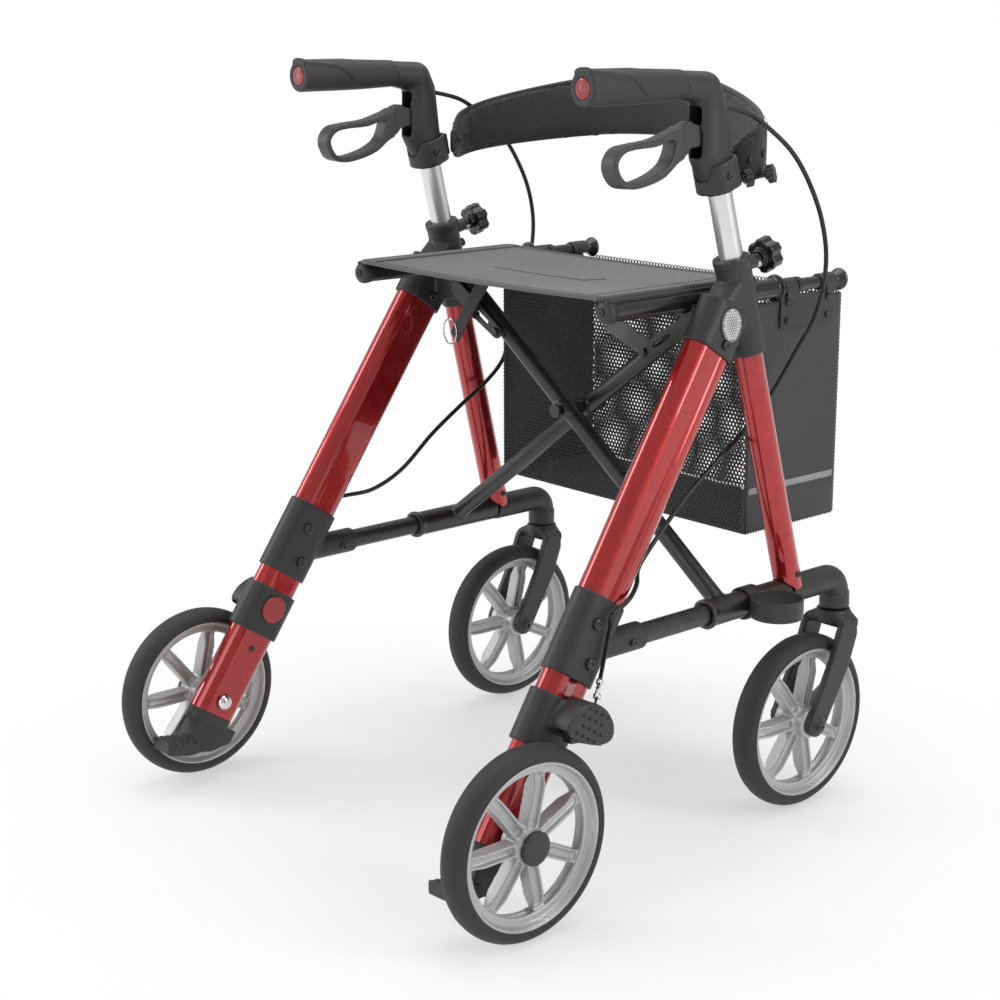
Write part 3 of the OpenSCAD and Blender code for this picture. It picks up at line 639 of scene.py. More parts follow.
def repeat_tree():
    tree = bpy.data.node_groups.new("repeat a small part", "GeometryNodeTree")
    tree.is_modifier = True
    socket = tree.interface.new_socket
    socket(name="Points", in_out="INPUT", socket_type="NodeSocketGeometry")
    socket(name="Part", in_out="INPUT", socket_type="NodeSocketObject")
    socket(name="Size", in_out="INPUT", socket_type="NodeSocketFloat")
    socket(name="Finish", in_out="INPUT", socket_type="NodeSocketMaterial")
    socket(name="Mesh", in_out="OUTPUT", socket_type="NodeSocketGeometry")
    add, link = tree.nodes.new, tree.links.new
    given, result = add("NodeGroupInput"), add("NodeGroupOutput")
    turned = None
    for name, axis, pivot in (("facing", "Z", "AUTO"), ("along", "X", "Z")):
        stored = add("GeometryNodeInputNamedAttribute")
        stored.data_type = "FLOAT_VECTOR"
        stored.inputs["Name"].default_value = name
        align = add("FunctionNodeAlignRotationToVector")
        align.axis = axis
        align.pivot_axis = pivot
        link(stored.outputs["Attribute"], align.inputs["Vector"])
        if turned:
            link(turned, align.inputs["Rotation"])
        turned = align.outputs["Rotation"]
    part = add("GeometryNodeObjectInfo")
    copies = add("GeometryNodeInstanceOnPoints")
    real = add("GeometryNodeRealizeInstances")
    paint = add("GeometryNodeSetMaterial")
    link(given.outputs["Part"], part.inputs["Object"])
    link(given.outputs["Points"], copies.inputs["Points"])
    link(part.outputs["Geometry"], copies.inputs["Instance"])
    link(turned, copies.inputs["Rotation"])
    link(given.outputs["Size"], copies.inputs["Scale"])
    link(copies.outputs["Instances"], real.inputs["Geometry"])
    link(real.outputs["Geometry"], paint.inputs["Geometry"])
    link(given.outputs["Finish"], paint.inputs["Material"])
    link(paint.outputs["Geometry"], result.inputs["Mesh"])
    return tree


REPEAT = repeat_tree()


def set_inputs(modifier, **values):
    """Sets a Geometry Nodes modifier's inputs, found by name and set by identifier."""
    for item in modifier.node_group.interface.items_tree:
        if getattr(item, "in_out", "") == "INPUT" and item.name.replace(" ", "_") in values:
            modifier[item.identifier] = values[item.name.replace(" ", "_")]


def repeat(part, places, material, size=1.0):
    """Copies a small part mesh to places, each (point, facing, along), and gives one mesh."""
    cloud = mesh_of("places", [p[0] for p in places], [])
    for k, name in ((1, "facing"), (2, "along")):
        stored = cloud.attributes.new(name, "FLOAT_VECTOR", "POINT")
        stored.data.foreach_set("vector", [x for p in places for x in p[k]])
    small = bpy.data.objects.new("small_part", part)
    holder = bpy.data.objects.new("repeated", cloud)
    scene.collection.objects.link(small)
    scene.collection.objects.link(holder)
    modifier = holder.modifiers.new("repeat", "NODES")
    modifier.node_group = REPEAT
    set_inputs(modifier, Part=small, Size=size, Finish=material)
    mesh = evaluated(holder, "repeated")
    bpy.data.objects.remove(small)
    for name in ("facing", "along"):
        if name in mesh.attributes:
            mesh.attributes.remove(mesh.attributes[name])
    return mesh


# %% The small parts themselves
MM = 0.001


def small_part(profile, segments=12, hexed=()):
    return lathe([(a * MM, r * MM) for a, r in profile], segments, (0, 0, 1), (0, 0, 0), hexed)


RIVET = [(-0.6, 0), (-0.6, 3.6), (0.5, 3.9), (1.1, 3.4), (1.5, 2.2), (1.7, 0)]
SOCKET_SCREW = [(-0.6, 0), (-0.6, 4.5), (1.4, 4.6), (2.4, 4.1), (2.7, 2.9), (2.6, 2.2), (0.9, 2.1), (0.8, 0)]
rivet = small_part(RIVET)
socket_screw = small_part(SOCKET_SCREW, 24, hexed=(5, 6))
dot = small_part([(-0.3, 0), (-0.3, 1.55), (0.25, 1.4), (0.75, 0.8), (0.9, 0)], 10)
prism = small_part([(0.0, 0.86), (0.28, 0.0)], 6)
pin_dot = small_part([(-0.5, 0), (-0.5, 1.2), (0.15, 1.15), (0.15, 0)], 10)


def stitch_part(length, thick):
    """One visible stitch, a thread that dives into the cloth at both ends."""
    widths = (0.25, 0.5, 0.55, 0.5, 0.25)
    route = []
    for i in range(len(widths)):
        t = i / (len(widths) - 1)
        route.append(Vector(((t - 0.5) * length, 0, thick * (0.55 * math.sin(math.pi * t) - 0.1))))
    return tube(route, [thick * k for k in widths], 6)


stitch = stitch_part(3.2 * MM, 0.8 * MM)
print("small parts ready")

# %% [markdown]
# ## Tubes
#
# The legs are oval aluminium extrusions and the other tubes are round. A CAD mesh shows its flat
# facets under gloss lacquer, so each tube is copied, its doubles merged, and its normals smoothed
# everywhere except across its cut ends.

# %% Smooth the tubes
TUBES = {"leg": (red_paint, "candy_red"), "front_tube": (red_paint, "candy_red"),
         "side_tube": (black_tube, "black_tube"), "height_tube": (aluminium, "satin_aluminium")}
for side in SIDES:
    for kind, (material, slot) in TUBES.items():
        node = nodes[f"{kind}_{side}"]
        bm = bmesh.new()
        bm.from_mesh(node.data)
        bmesh.ops.remove_doubles(bm, verts=bm.verts, dist=2e-6)
        bmesh.ops.recalc_face_normals(bm, faces=bm.faces)
        skin = bpy.data.meshes.new(kind)
        bm.to_mesh(skin)
        bm.free()
        piece(f"{kind}_{side}_skin", skin, material, body_of(node)[0], slot, (f"{kind}_{side}",))
        skin.set_sharp_from_angle(angle=math.radians(32))
print("tubes smoothed")

# %% [markdown]
# ## Side frames: castings
#
# The head joins the raked leg, the front tube and the height tube. The leg bracket and the elbow
# hold the lower side tube. All are recast from their CAD solids. The brake housing also has a cover
# with rows of raised dots, and the tipper is a pedal that a foot presses.

# %% Recast the mouldings
CASTINGS = {
    "head": (0.0014, 6), "leg_bracket": (0.0014, 7), "elbow": (0.0014, 5), "brake_housing": (0.0013, 7),
    "tipper": (0.0011, 3), "cane_holder": (0.0011, 4), "lock_lever": (0.0009, 4),
}
for side in SIDES:
    for kind, (voxel, rounds) in CASTINGS.items():
        node = kind if kind in nodes else f"{kind}_{side}"
        if kind in nodes and side == "left":
            continue
        body = body_of(nodes[node])[0]
        made = piece(node + "_casting", recast(node, voxel, rounds), charcoal, body, "black_moulding", (node,))
        print(made.name, len(made.data.polygons))

# %% Screws, rivets and dots of the side frames
SCREWS = [(18.3, leg_y(545) + 6, 546, 1.1), (18.3, leg_y(289) - 8, 289, 1.35),
          (18.3, leg_y(252) + 6, 250, 1.35), (14.4, -57, 257, 1.1), (15.0, 196, 279, 0.8), (14.8, leg_y(157), 157, 0.8)]
for side in SIDES:
    body = side + "_frame"
    out, up = facing(side, 1, 0, 0), facing(side, 0, 0, 1)
    heads = []
    for x, y, z, scale in SCREWS:
        heads.append(repeat(socket_screw, [(place(side, x, y, z), out, up)], gloss_black, scale))
        heads.append(repeat(socket_screw, [(place(side, -x, y, z), -out, up)], gloss_black, scale))
    piece(f"frame_screws_{side}", join_meshes(heads), gloss_black, body, "chrome_fastener",
          (f"fasteners_{side}",))
    s = 1 if side == "right" else -1
    bolt = [(0, 0), (0.3, 3), (1.6, 6.5), (4, 8.8), (6.5, 9.3), (6.5, 5), (75, 5), (75, 0)]
    axle = lathe([(a * MM, r * MM) for a, r in bolt], 32, (s, 0, 0), Vector((s * 226.3, -232.3, 100)) * MM)
    piece(f"rear_axle_{side}", axle, chrome, body, "chrome_fastener")
    along, over = (math.sin(LEG_RAKE), math.cos(LEG_RAKE)), (math.cos(LEG_RAKE), -math.sin(LEG_RAKE))
    dots = []
    for row in range(4):
        for column in range(4):
            a, b = (row - 1.5) * 9.2, (column - 1.5) * 9.4 + (2.4 if row % 2 else -2.4)
            y, z = -146 + a * along[0] + b * over[0], 199 + a * along[1] + b * over[1]
            dots.append((place(side, 47.2, y, z), out, up))
    piece(f"cover_dots_{side}", repeat(dot, dots, charcoal), charcoal, body, "black_moulding")

# %% [markdown]
# ## Reflectors
#
# A reflector works through a field of tiny corner cubes moulded into clear plastic, which read as a
# honeycomb. The head has a silver lens shaped like a drop, the leg a round red one. The prisms are
# repeated on a hexagonal lattice and kept where they fall inside the outline.

# %% Lens shapes


HEX_ROW = 0.8660254


def lattice(pitch, reach, keep):
    """Points of a hexagonal lattice that keep accepts; rows are HEX_ROW of the pitch apart."""
    out = []
    n = int(reach / pitch) + 2
    for j in range(-n, n + 1):
        for i in range(-n, n + 1):
            u, v = (i + 0.5 * (j % 2)) * pitch, j * pitch * HEX_ROW
            if keep(u, v):
                out.append((u, v))
    return out


def drop_radius(angle):
    """Radius of the drop-shaped lens, by the angle from straight down."""
    c = math.cos(angle)
    return 15.4 + 3.4 * max(0.0, c) ** 3 - 1.2 * math.sin(angle) ** 2 + 0.8 * max(0.0, -c)


def domed_lens(outline_radius, thick, to_point, segments=48, rings=6):
    """A low dome over an outline given as radius by angle."""
    points, faces = [], []
    levels = [(1.0, 0.0), (1.0, thick * 0.6), (0.965, thick * 0.9)]
    levels += [(0.93 * (1 - k / rings), thick * (0.92 + 0.08 * smoothstep(k / rings))) for k in range(rings)]
    for share, height in levels:
        for i in range(segments):
            angle = 2 * math.pi * i / segments
            r = outline_radius(angle) * share
            points.append(to_point(height, r * math.sin(angle), -r * math.cos(angle)))
    for k in range(len(levels) - 1):
        for i in range(segments):
            a, b = k * segments + i, k * segments + (i + 1) % segments
            faces.append((a, b, b + segments, a + segments))
    faces.append(tuple(range(segments)))
    last = (len(levels) - 1) * segments
    faces.append(tuple(range(last, last + segments)))
    return outward(mesh_of("lens", points, faces))


def inside_drop(u, v):
    return math.hypot(u, v) < drop_radius(math.atan2(u, -v)) * 0.9


lens_y, lens_z = tube_y(567) - 37, 567
dot_y, dot_z = leg_y(200), 200
for side in SIDES:
    out, up = facing(side, 1, 0, 0), facing(side, 0, 0, 1)
    lens = domed_lens(drop_radius, 2.2, lambda w, u, v: place(side, 18.4 + w, lens_y + u, lens_z + v))
    cells = [(place(side, 20.4, lens_y + u, lens_z + v), out, up) for u, v in lattice(3.3, 20, inside_drop)]
    piece(f"head_lens_{side}", lens, lens_back, side + "_frame", "reflector", (f"reflectors_{side}",))
    piece(f"head_prisms_{side}", repeat(prism, cells, clear_lens, 1.9), clear_lens, side + "_frame",
          "reflector")
    disc = domed_lens(lambda a: 16.0, 1.8, lambda w, u, v: place(side, -19.3 - w, dot_y + u, dot_z + v))
    cells = [(place(side, -21.0, dot_y + u, dot_z + v), -out, up)
             for u, v in lattice(1.9, 16, lambda u, v: math.hypot(u, v) < 14.4)]
    whole = join_meshes([disc, repeat(prism, cells, red_lens, 0.9)])
    piece(f"leg_lens_{side}", whole, red_lens, side + "_frame", "reflector")
print("lenses made")

# %% [markdown]
# ## Handles
#
# The grip is an ergonomic moulding: a round bar that swells towards its end, with a raised palm pad
# whose edge runs forwards along the side and then sweeps down. It is shaped here ring by ring, with
# the pad as a smooth step in the radius. The end carries a small red reflector. The handle's bend
# and the brake lever's loop are recast from their solids, which gives the lever its rounded band.

# %% Grips
GRIP = [(0, 14.9), (2, 15.1), (10, 15.4), (28, 16.0), (45, 16.7), (75, 17.1), (100, 17.1), (122, 17.2),
        (128.5, 17.3), (130.4, 16.7), (131, 15.8)]
GRIP_L, GRIP_FRONT, GRIP_Z = 131, 25, 808


def grip_radius(along, angle):
    """Radius at a distance from the front and an angle from the top."""
    base = float(np.interp(along, [g[0] for g in GRIP], [g[1] for g in GRIP]))
    from_end = GRIP_L - along
    crease = math.radians(40 + 16 * smoothstep(from_end / 46) + 62 * smoothstep((from_end - 40) / 34))
    fade = smoothstep((84 - from_end) / 26) * smoothstep((from_end + 3) / 6)
    side = abs(math.atan2(math.sin(angle), math.cos(angle)))
    step = smoothstep((crease - side) / math.radians(4))
    pad = 2.7 * step * fade * (0.35 + 0.65 * min(1.0, side / crease))
    lip = 1.9 * smoothstep((math.radians(52) - side) / math.radians(26)) * smoothstep((4.2 - from_end) / 2.4)
    return base + pad + lip * smoothstep((from_end + 0.4) / 0.8)


def grip_mesh(side, rings=120, around=96):
    points, faces = [], []
    stations = [GRIP_L * (i / (rings - 1)) for i in range(rings)]
    levels = [(s, None) for s in stations] + [(131.0, 11.4), (130.2, 10.6), (129.9, 10.0)]
    for along, fixed in levels:
        for k in range(around):
            angle = 2 * math.pi * k / around
            r = fixed or grip_radius(along, angle)
            points.append(place(side, r * math.sin(angle), GRIP_FRONT - along, GRIP_Z + r * math.cos(angle)))
    for i in range(len(levels) - 1):
        for k in range(around):
            a, b = i * around + k, i * around + (k + 1) % around
            faces.append((a, b, b + around, a + around))
    faces.append(tuple(range(around)))
    faces.append(tuple(range((len(levels) - 1) * around, len(levels) * around)))
    return outward(mesh_of("grip", points, faces))


for side in SIDES:
    body = "handle_" + side
    piece(f"grip_{side}_rubber", grip_mesh(side), grip_rubber, body, "grip_rubber", (f"grip_{side}",))
    back, up = Vector((0, -1, 0)), facing(side, 0, 0, 1)
    lens = [(0, 0), (0, 10.2 * MM), (1.1 * MM, 10.1 * MM), (1.7 * MM, 9.4 * MM), (1.9 * MM, 0)]
    disc = lathe(lens, 48, (0, -1, 0), place(side, 0, GRIP_FRONT - GRIP_L + 1.6, GRIP_Z))
    cells = [(place(side, u, GRIP_FRONT - GRIP_L - 0.3, GRIP_Z + v), back, up)
             for u, v in lattice(1.5, 10, lambda u, v: math.hypot(u, v) < 8.9)]
    whole = join_meshes([disc, repeat(prism, cells, red_lens, 0.8)])
    piece(f"grip_end_lens_{side}", whole, red_lens, body, "reflector")
    piece(f"handle_{side}_bend", recast(f"handle_{side}", 0.0014, 9), charcoal, body, "black_moulding",
          (f"handle_{side}",))
    piece(f"clamp_{side}_casting", recast(f"backrest_clamp_{side}", 0.0013, 5), charcoal, body,
          "black_moulding", (f"backrest_clamp_{side}",))
    piece(f"lever_{side}_loop", recast(f"brake_lever_{side}", 0.0010, 6), lever_plastic, "brake_lever_" + side,
          "lever_grey", (f"brake_lever_{side}",))
    small = [(place(side, s * 15.6, y, z), facing(side, s, 0, 0), up)
             for s in (-1, 1) for y, z in ((63, 786), (66, 735))]
    piece(f"handle_pins_{side}", repeat(pin_dot, small, gloss_black), gloss_black, body, "black_moulding")
    screw_at = [(place(side, s * 21.2, tube_y(717) - 3, 717), facing(side, s, 0, 0), up) for s in (-1, 1)]
    piece(f"clamp_screws_{side}", repeat(socket_screw, screw_at, gloss_black, 0.9), gloss_black, body,
          "chrome_fastener")
    piece(f"knob_{side}_star", recast(f"knob_{side}", 0.0009, 5), gloss_black, "knob_" + side, "black_moulding",
          (f"knob_{side}",))
print("handles made")

# %% [markdown]
# ## Wheels
#
# The wheels are silver nylon with seven hollow-backed spokes, and a soft grey tyre is moulded on. A
# tyre is a turned shape, so it is a lathe profile with a shoulder line near the rim and a faint
# parting line round the tread. The rims are recast, which gives the fillets where spokes meet hub
# and rim. A black cap closes each rear hub, and a socket bolt each end of a caster axle.

# %% Tyres, rims, forks and caps
WHEEL_R = 100
HALF_TYRE = [(-13.6, 84.4), (-15.6, 86.4), (-16.2, 88.2), (-15.6, 88.9), (-15.9, 89.8), (-15.3, 91.6),
             (-13.4, 94.6), (-10.4, 97.3), (-6.6, 99.1), (-3.0, 99.8), (-0.5, 99.95)]
TYRE_PROFILE = HALF_TYRE + [(0, WHEEL_R)] + [(-across, r) for across, r in reversed(HALF_TYRE)]
WHEELS = {"rear": (288.3, -232.3), "caster": (245.0, 222.6)}


def ring_lathe(profile, segments, centre):
    """A closed ring turned round X; the profile is (along X, radius) and closes on itself."""
    n = len(profile)
    points = [Vector(centre) + Vector((a, r * math.cos(t), r * math.sin(t))) * MM
              for i in range(segments) for a, r in profile for t in (2 * math.pi * i / segments,)]
    faces = []
    for i in range(segments):
        j = (i + 1) % segments
        for k in range(n):
            m = (k + 1) % n
            faces.append((i * n + k, j * n + k, j * n + m, i * n + m))
    return outward(mesh_of("ring", points, faces))


def dished(mesh, centre):
    """Hollows both faces of the rim's web behind its thin outer lip."""
    for v in mesh.vertices:
        out = v.co - centre
        r = math.hypot(out.y, out.z) / MM
        hollow = smoothstep((83.4 - r) / 2.6) * smoothstep((r - 56) / 16)
        v.co.x = centre.x + out.x * (1 - 0.55 * hollow)
    return mesh


for side in SIDES:
    s = 1 if side == "right" else -1
    for kind, (x, y) in WHEELS.items():
        body = f"{kind}_wheel_{side}"
        centre = Vector((s * x, y, WHEEL_R)) * MM
        piece(f"{kind}_tyre_{side}_rubber", ring_lathe(TYRE_PROFILE, 144, centre), tyre_rubber, body,
              "tyre_grey", (f"{kind}_tyre_{side}",))
        rim = dished(recast(f"{kind}_rim_{side}", 0.0016, 3), centre)
        piece(f"{kind}_rim_{side}_cast", rim, silver, body, "silver_rim", (f"{kind}_rim_{side}",))
    cap = [(12.8, 0), (12.8, 16.6), (13.4, 17.4), (17.6, 17.4), (18.5, 16.4), (18.9, 12), (19.1, 0)]
    x, y = WHEELS["rear"]
    centre = Vector((s * x, y, WHEEL_R)) * MM
    piece(f"hub_cap_{side}", lathe([(a * MM, r * MM) for a, r in cap], 48, (s, 0, 0), centre), charcoal,
          f"rear_wheel_{side}", "black_moulding")
    piece(f"fork_{side}_casting", recast(f"fork_{side}", 0.0013, 8), charcoal, f"caster_{side}",
          "black_moulding", (f"fork_{side}",))
    x, y = WHEELS["caster"]
    bolt_at = [(Vector((s * x + t * 32.7, y, WHEEL_R)) * MM, Vector((t, 0, 0)), Vector((0, 0, 1)))
               for t in (-1, 1)]
    piece(f"axle_bolts_{side}", repeat(socket_screw, bolt_at, gloss_black, 1.25), gloss_black, f"caster_{side}",
          "chrome_fastener")
print("wheels made")

# %% [markdown]
# ## Cross brace, rails and small fittings
#
# Two crossed tubes let the walker fold: each carries a seat rail at its top and turns on a side tube
# at its foot. A domed bolt joins them in the middle. Each rail ends in a moulded plug with a bolt.
# A slotted link ties each rail to its head, so that rail and head come together as the walker folds.

# %% Brace, rails and links
FITTINGS = {
    "brace_a": (0.0019, 3, black_tube, "black_tube"), "brace_b": (0.0019, 3, black_tube, "black_tube"),
    "rail_left": (0.0014, 3, gloss_black, "black_tube"), "rail_right": (0.0014, 3, gloss_black, "black_tube"),
    "guide_link_left": (0.0007, 2, charcoal, "black_moulding"),
    "guide_link_right": (0.0008, 3, charcoal, "black_moulding"),
    "brake_shoe_left": (0.0007, 2, black_tube, "brake_metal"),
    "brake_shoe_right": (0.0007, 2, black_tube, "brake_metal"),
    "basket_hooks": (0.0011, 2, charcoal, "black_moulding"),
    "cross_bolt": (0.0006, 3, gloss_black, "chrome_fastener"),
}
RAIL_X, RAIL_Z = 199, 586
SEAT_REAR, SEAT_FRONT, SEAT_TOP = -46, 181, 600.6
seat_body = body_of(nodes["seat"])[0]


def fold_seat(made):
    """Gives the piece its own copy of its mesh."""
    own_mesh(made)
    return made


def fold_band(made):
    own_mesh(made)
    return made


for node, (voxel, rounds, material, slot) in FITTINGS.items():
    body = body_of(nodes[node])[0]
    made = piece(node + "_shape", recast(node, voxel, rounds), material, body, slot, (node,))
    if node == "basket_hooks":
        fold_seat(made)
    print(made.name, len(made.data.polygons))

CAP = [(-3, 0), (-3, 11.6), (3.5, 12.1), (6.6, 11.4), (8.8, 9.4), (10.0, 6.6), (10.4, 5.4), (9.6, 5.0),
       (9.4, 0)]
for side in SIDES:
    s = 1 if side == "right" else -1
    body = body_of(nodes["rail_" + side])[0]
    end = Vector((s * RAIL_X, -39, RAIL_Z)) * MM
    dome = lathe([(a * MM, r * MM) for a, r in CAP], 48, (0, -1, 0), end)
    bolt = repeat(socket_screw, [(end + Vector((0, -9.2, 0)) * MM, Vector((0, -1, 0)), Vector((0, 0, 1)))],
                  gloss_black, 0.85)
    piece(f"rail_cap_{side}", join_meshes([dome, bolt]), charcoal, body, "black_moulding")
    ribs = [tube([Vector((s * RAIL_X, y + dy, RAIL_Z)) * MM for dy in (0, 7)], 9.3 * MM, 28)
            for y in (222, 244, 283)]
    piece(f"rail_clips_{side}", join_meshes([soft_edges(rib, 0.9 * MM) for rib in ribs]), charcoal, body,
          "black_moulding")

# %% [markdown]
# ## Brake cables
#
# Each brake cable leaves the lever housing, swings forwards and down past the head, crosses under
# the seat and enters the brake housing on the leg. The upper end rises with the handle, so the cable
# bends between the two bodies. A coil spring and an adjuster hold it at the lower end.

# %% Cables and springs
CABLE = [(229, 91, 784), (230, 130, 775), (231, 163, 757), (232, 196, 733), (233, 222, 702), (234, 243, 664),
         (235, 253, 624), (235, 250, 586), (234, 237, 552), (228, 217, 520), (219, 198, 484), (211, 180, 456),
         (209, 150, 432), (210, 112, 409), (211, 66, 379), (213, 20, 342), (224, -16, 321), (246, -41, 313),
         (264, -70, 307), (268.5, -97, 298)]


def cable_length():
    route = smooth_route([Vector(p) for p in CABLE], 8)
    return sum((b - a).length for a, b in zip(route, route[1:]))


def coil(start, end, radius, wire, turns, sides=7, steps=18):
    """A helical spring wound between two points."""
    start, end = Vector(start), Vector(end)
    axis = (end - start).normalized()
    side = axis.orthogonal().normalized()
    other = axis.cross(side)
    count = turns * steps
    route = []
    for i in range(count + 1):
        angle = 2 * math.pi * i / steps
        route.append(start.lerp(end, i / count) + (side * math.cos(angle) + other * math.sin(angle)) * radius)
    return tube(route, wire, sides, up=axis)


for side in SIDES:
    s = 1 if side == "right" else -1
    route = smooth_route([Vector((s * x, y, z)) * MM for x, y, z in CABLE], 8)
    mesh = tube(route, 2.5 * MM, 14)
    cable = bpy.data.objects.new(f"cable_{side}_sheath", mesh)
    scene.collection.objects.link(cable)
    mesh.materials.append(cable_skin)
    for face in mesh.polygons:
        face.use_smooth = True
    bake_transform(cable, side + "_frame", "handle_" + side, start=(s * 0.23, 0.24, 0.55), end=(s * 0.23, 0.16, 0.77))
    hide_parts(f"cable_{side}")
    tail, ahead = route[-1], (route[-1] - route[-6]).normalized()
    foot = place(side, 23, leg_y(226) + 30, 226)
    down = (foot - tail).normalized()
    ferrule = [(0, 2.5), (3, 3.2), (9, 3.3), (9, 2.2), (70, 2.1), (70, 0)]
    guide = lathe([(0, 0)] + [(a * MM, r * MM) for a, r in ferrule], 20, down, tail)
    piece(f"cable_ferrule_{side}", guide, cable_skin, side + "_frame", "cable_sheath")
    barrel = [(0, 0), (0, 3.4), (5, 3.5), (5, 2.4), (15, 2.4), (15, 3.9), (20, 3.9), (20, 1.6), (26, 1.6),
              (26, 0)]
    adjuster = lathe([(a * MM, r * MM) for a, r in barrel], 24, down, tail + down * 66 * MM, hexed=(5, 6))
    piece(f"cable_adjuster_{side}", adjuster, chrome, side + "_frame", "chrome_fastener")
    top, low = place(side, 18.5, leg_y(166) + 6, 166), place(side, 18.5, leg_y(142) + 2, 142)
    spring = coil(top, low, 2.5 * MM, 0.55 * MM, 11)
    eyelet = lathe([(a * MM, r * MM) for a, r in RIVET], 16, facing(side, 1, 0, 0),
                   place(side, 16, leg_y(138), 138))
    piece(f"return_spring_{side}", join_meshes([spring, eyelet]), chrome, side + "_frame", "chrome_fastener")
    boss_thread = coil(place(side, 0, 140, 622), place(side, 0, 150, 624.5), 4.1 * MM, 0.6 * MM, 7)
    piece(f"knob_thread_{side}", boss_thread, chrome, "knob_" + side, "chrome_fastener")
print("each cable is", round(cable_length()), "mm long")

# %% [markdown]
# ## Fabrics
#
# The seat is a coated woven panel held between the rails, the basket a bag whose two large faces are
# hexagonal mesh and whose ends are plain cloth, and the back band a padded strap. The weave is a
# shader effect that needs a UV map in metres; the mesh's holes are real, since light shows through.

# %% Woven finishes


def woven(name, tone, second, threads, strength, sheen=0.25, rough=(0.62, 0.8)):
    """A cloth finish: the threads raise the surface, and painted shade darkens the gaps between them."""
    material, w, shader, parts = shaded(name, tone, second, rough, bump=strength, wear=0.0, sheen=sheen,
                                        dusty=0.1)
    threads_of = w.add("ShaderNodeGroup", {"node_tree": weave}, Threads=threads)
    w.feed(parts["relief"], "Height", threads_of.outputs["Height"])
    # Painted shade: the colour is darkened where the weave is low, in the gaps between the threads.
    painted_gap_shade = tuple(0.45 * x for x in tone)
    share = w.math("MULTIPLY_ADD", threads_of.outputs["Height"], 0.6, 0.4)
    w.feed(shader, "Base Color", w.mix(share, (*painted_gap_shade, 1), parts["colour"]))
    return material


seat_cloth = woven("seat cloth", (0.090, 0.090, 0.092), (0.062, 0.062, 0.064), 700.0, 0.5, sheen=0.3)
edge_webbing = woven("edge webbing", (0.090, 0.090, 0.092), (0.070, 0.070, 0.072), 420.0, 0.8)
side_cloth = woven("basket cloth", (0.040, 0.040, 0.042), (0.032, 0.032, 0.034), 520.0, 0.6)
band_cloth = woven("back band cloth", (0.022, 0.022, 0.023), (0.017, 0.017, 0.018), 420.0, 1.0, sheen=0.2)
mesh_cloth = woven("hexagon mesh", (0.020, 0.019, 0.019), (0.028, 0.026, 0.025), 900.0, 0.4, sheen=0.1)
stripe_cloth = woven("reflective stripe", (0.36, 0.36, 0.37), (0.30, 0.30, 0.31), 800.0, 0.4, sheen=0.0)
thread_cloth = woven("sewing thread", (0.055, 0.055, 0.056), (0.040, 0.040, 0.041), 1500.0, 0.4)


def lay_out(mesh, along_u, along_v):
    """The UV map that weaves use: distances in metres along two directions."""
    layer = mesh.uv_layers.get("cloth") or mesh.uv_layers.new(name="cloth")
    co = np.zeros(len(mesh.vertices) * 3, np.float32)
    mesh.vertices.foreach_get("co", co)
    corner = np.zeros(len(mesh.loops), np.int32)
    mesh.loops.foreach_get("vertex_index", corner)
    flat = co.reshape(-1, 3) @ np.array([along_u, along_v], np.float32).T
    layer.data.foreach_set("uv", flat[corner].ravel())
    return mesh


def panel(surface, across, along, thick):
    """A cloth panel from a surface over the unit square, given an even thickness."""
    points = [surface(i / across, j / along) for j in range(along + 1) for i in range(across + 1)]
    row = across + 1
    faces = [(a, a + 1, a + row + 1, a + row) for j in range(along) for a in range(j * row, j * row + across)]
    holder = bpy.data.objects.new("panel_holder", mesh_of("panel", points, faces))
    scene.collection.objects.link(holder)
    thicken = holder.modifiers.new("thicken", "SOLIDIFY")
    thicken.thickness = thick
    thicken.offset = 0
    return outward(evaluated(holder, "panel"))


def stitch_line(route, spacing, up):
    """Places for stitches along a route, evenly spaced."""
    out, left = [], 0.0
    for a, b in zip(route, route[1:]):
        run = (b - a).length
        while left < run:
            out.append((a.lerp(b, left / run), Vector(up(a)), (b - a).normalized()))
            left += spacing
        left -= run
    return out


# %% [markdown]
# ## The seat
#
# The seat panel is stretched from rail to rail and sags a little in the middle. Stiff strips run
# along both rails where the cloth is doubled over its bead, stitched down on both edges. Hems close
# the front and back, and a sewn line on top marks a flap.

# %% Seat panel


def seat_height(x, y):
    across = max(0.0, 1 - (x / 188) ** 2)
    along = math.pi * (y - SEAT_REAR) / (SEAT_FRONT - SEAT_REAR)
    return SEAT_TOP - 1.4 - 3.6 * across * (0.7 + 0.3 * math.sin(along))


def seat_point(u, v):
    x, y = -200 + 400 * u, SEAT_REAR + (SEAT_FRONT - SEAT_REAR) * v
    return Vector((x, y, seat_height(x, y))) * MM


seat_mesh = lay_out(panel(seat_point, 120, 70, 2.6 * MM), (1, 0, 0), (0, 1, 0))
seat_panel = piece("seat_panel", seat_mesh, seat_cloth, seat_body, "seat_fabric", ("seat",))
edge_pieces, threads = [], []
for s in (-1, 1):
    def strip_point(u, v, s=s):
        x, y = s * (176 + 23 * u), SEAT_REAR + 1 + (SEAT_FRONT - SEAT_REAR - 2) * v
        return Vector((x, y, seat_height(x, y) + 1.75 + 0.25 * math.sin(math.pi * u))) * MM
    edge_pieces.append(lay_out(panel(strip_point, 10, 60, 1.0 * MM), (1, 0, 0), (0, 1, 0)))
    for offset in (178.5, 196.5):
        line = [Vector((s * offset, y, seat_height(s * offset, y) + 2.35)) * MM
                for y in range(SEAT_REAR + 4, SEAT_FRONT - 3, 4)]
        threads += stitch_line(line, 4.4 * MM, lambda p: (0, 0, 1))
strips = fold_seat(piece("seat_edge_strips", join_meshes(edge_pieces), edge_webbing, seat_body, "seat_fabric"))
hems = []
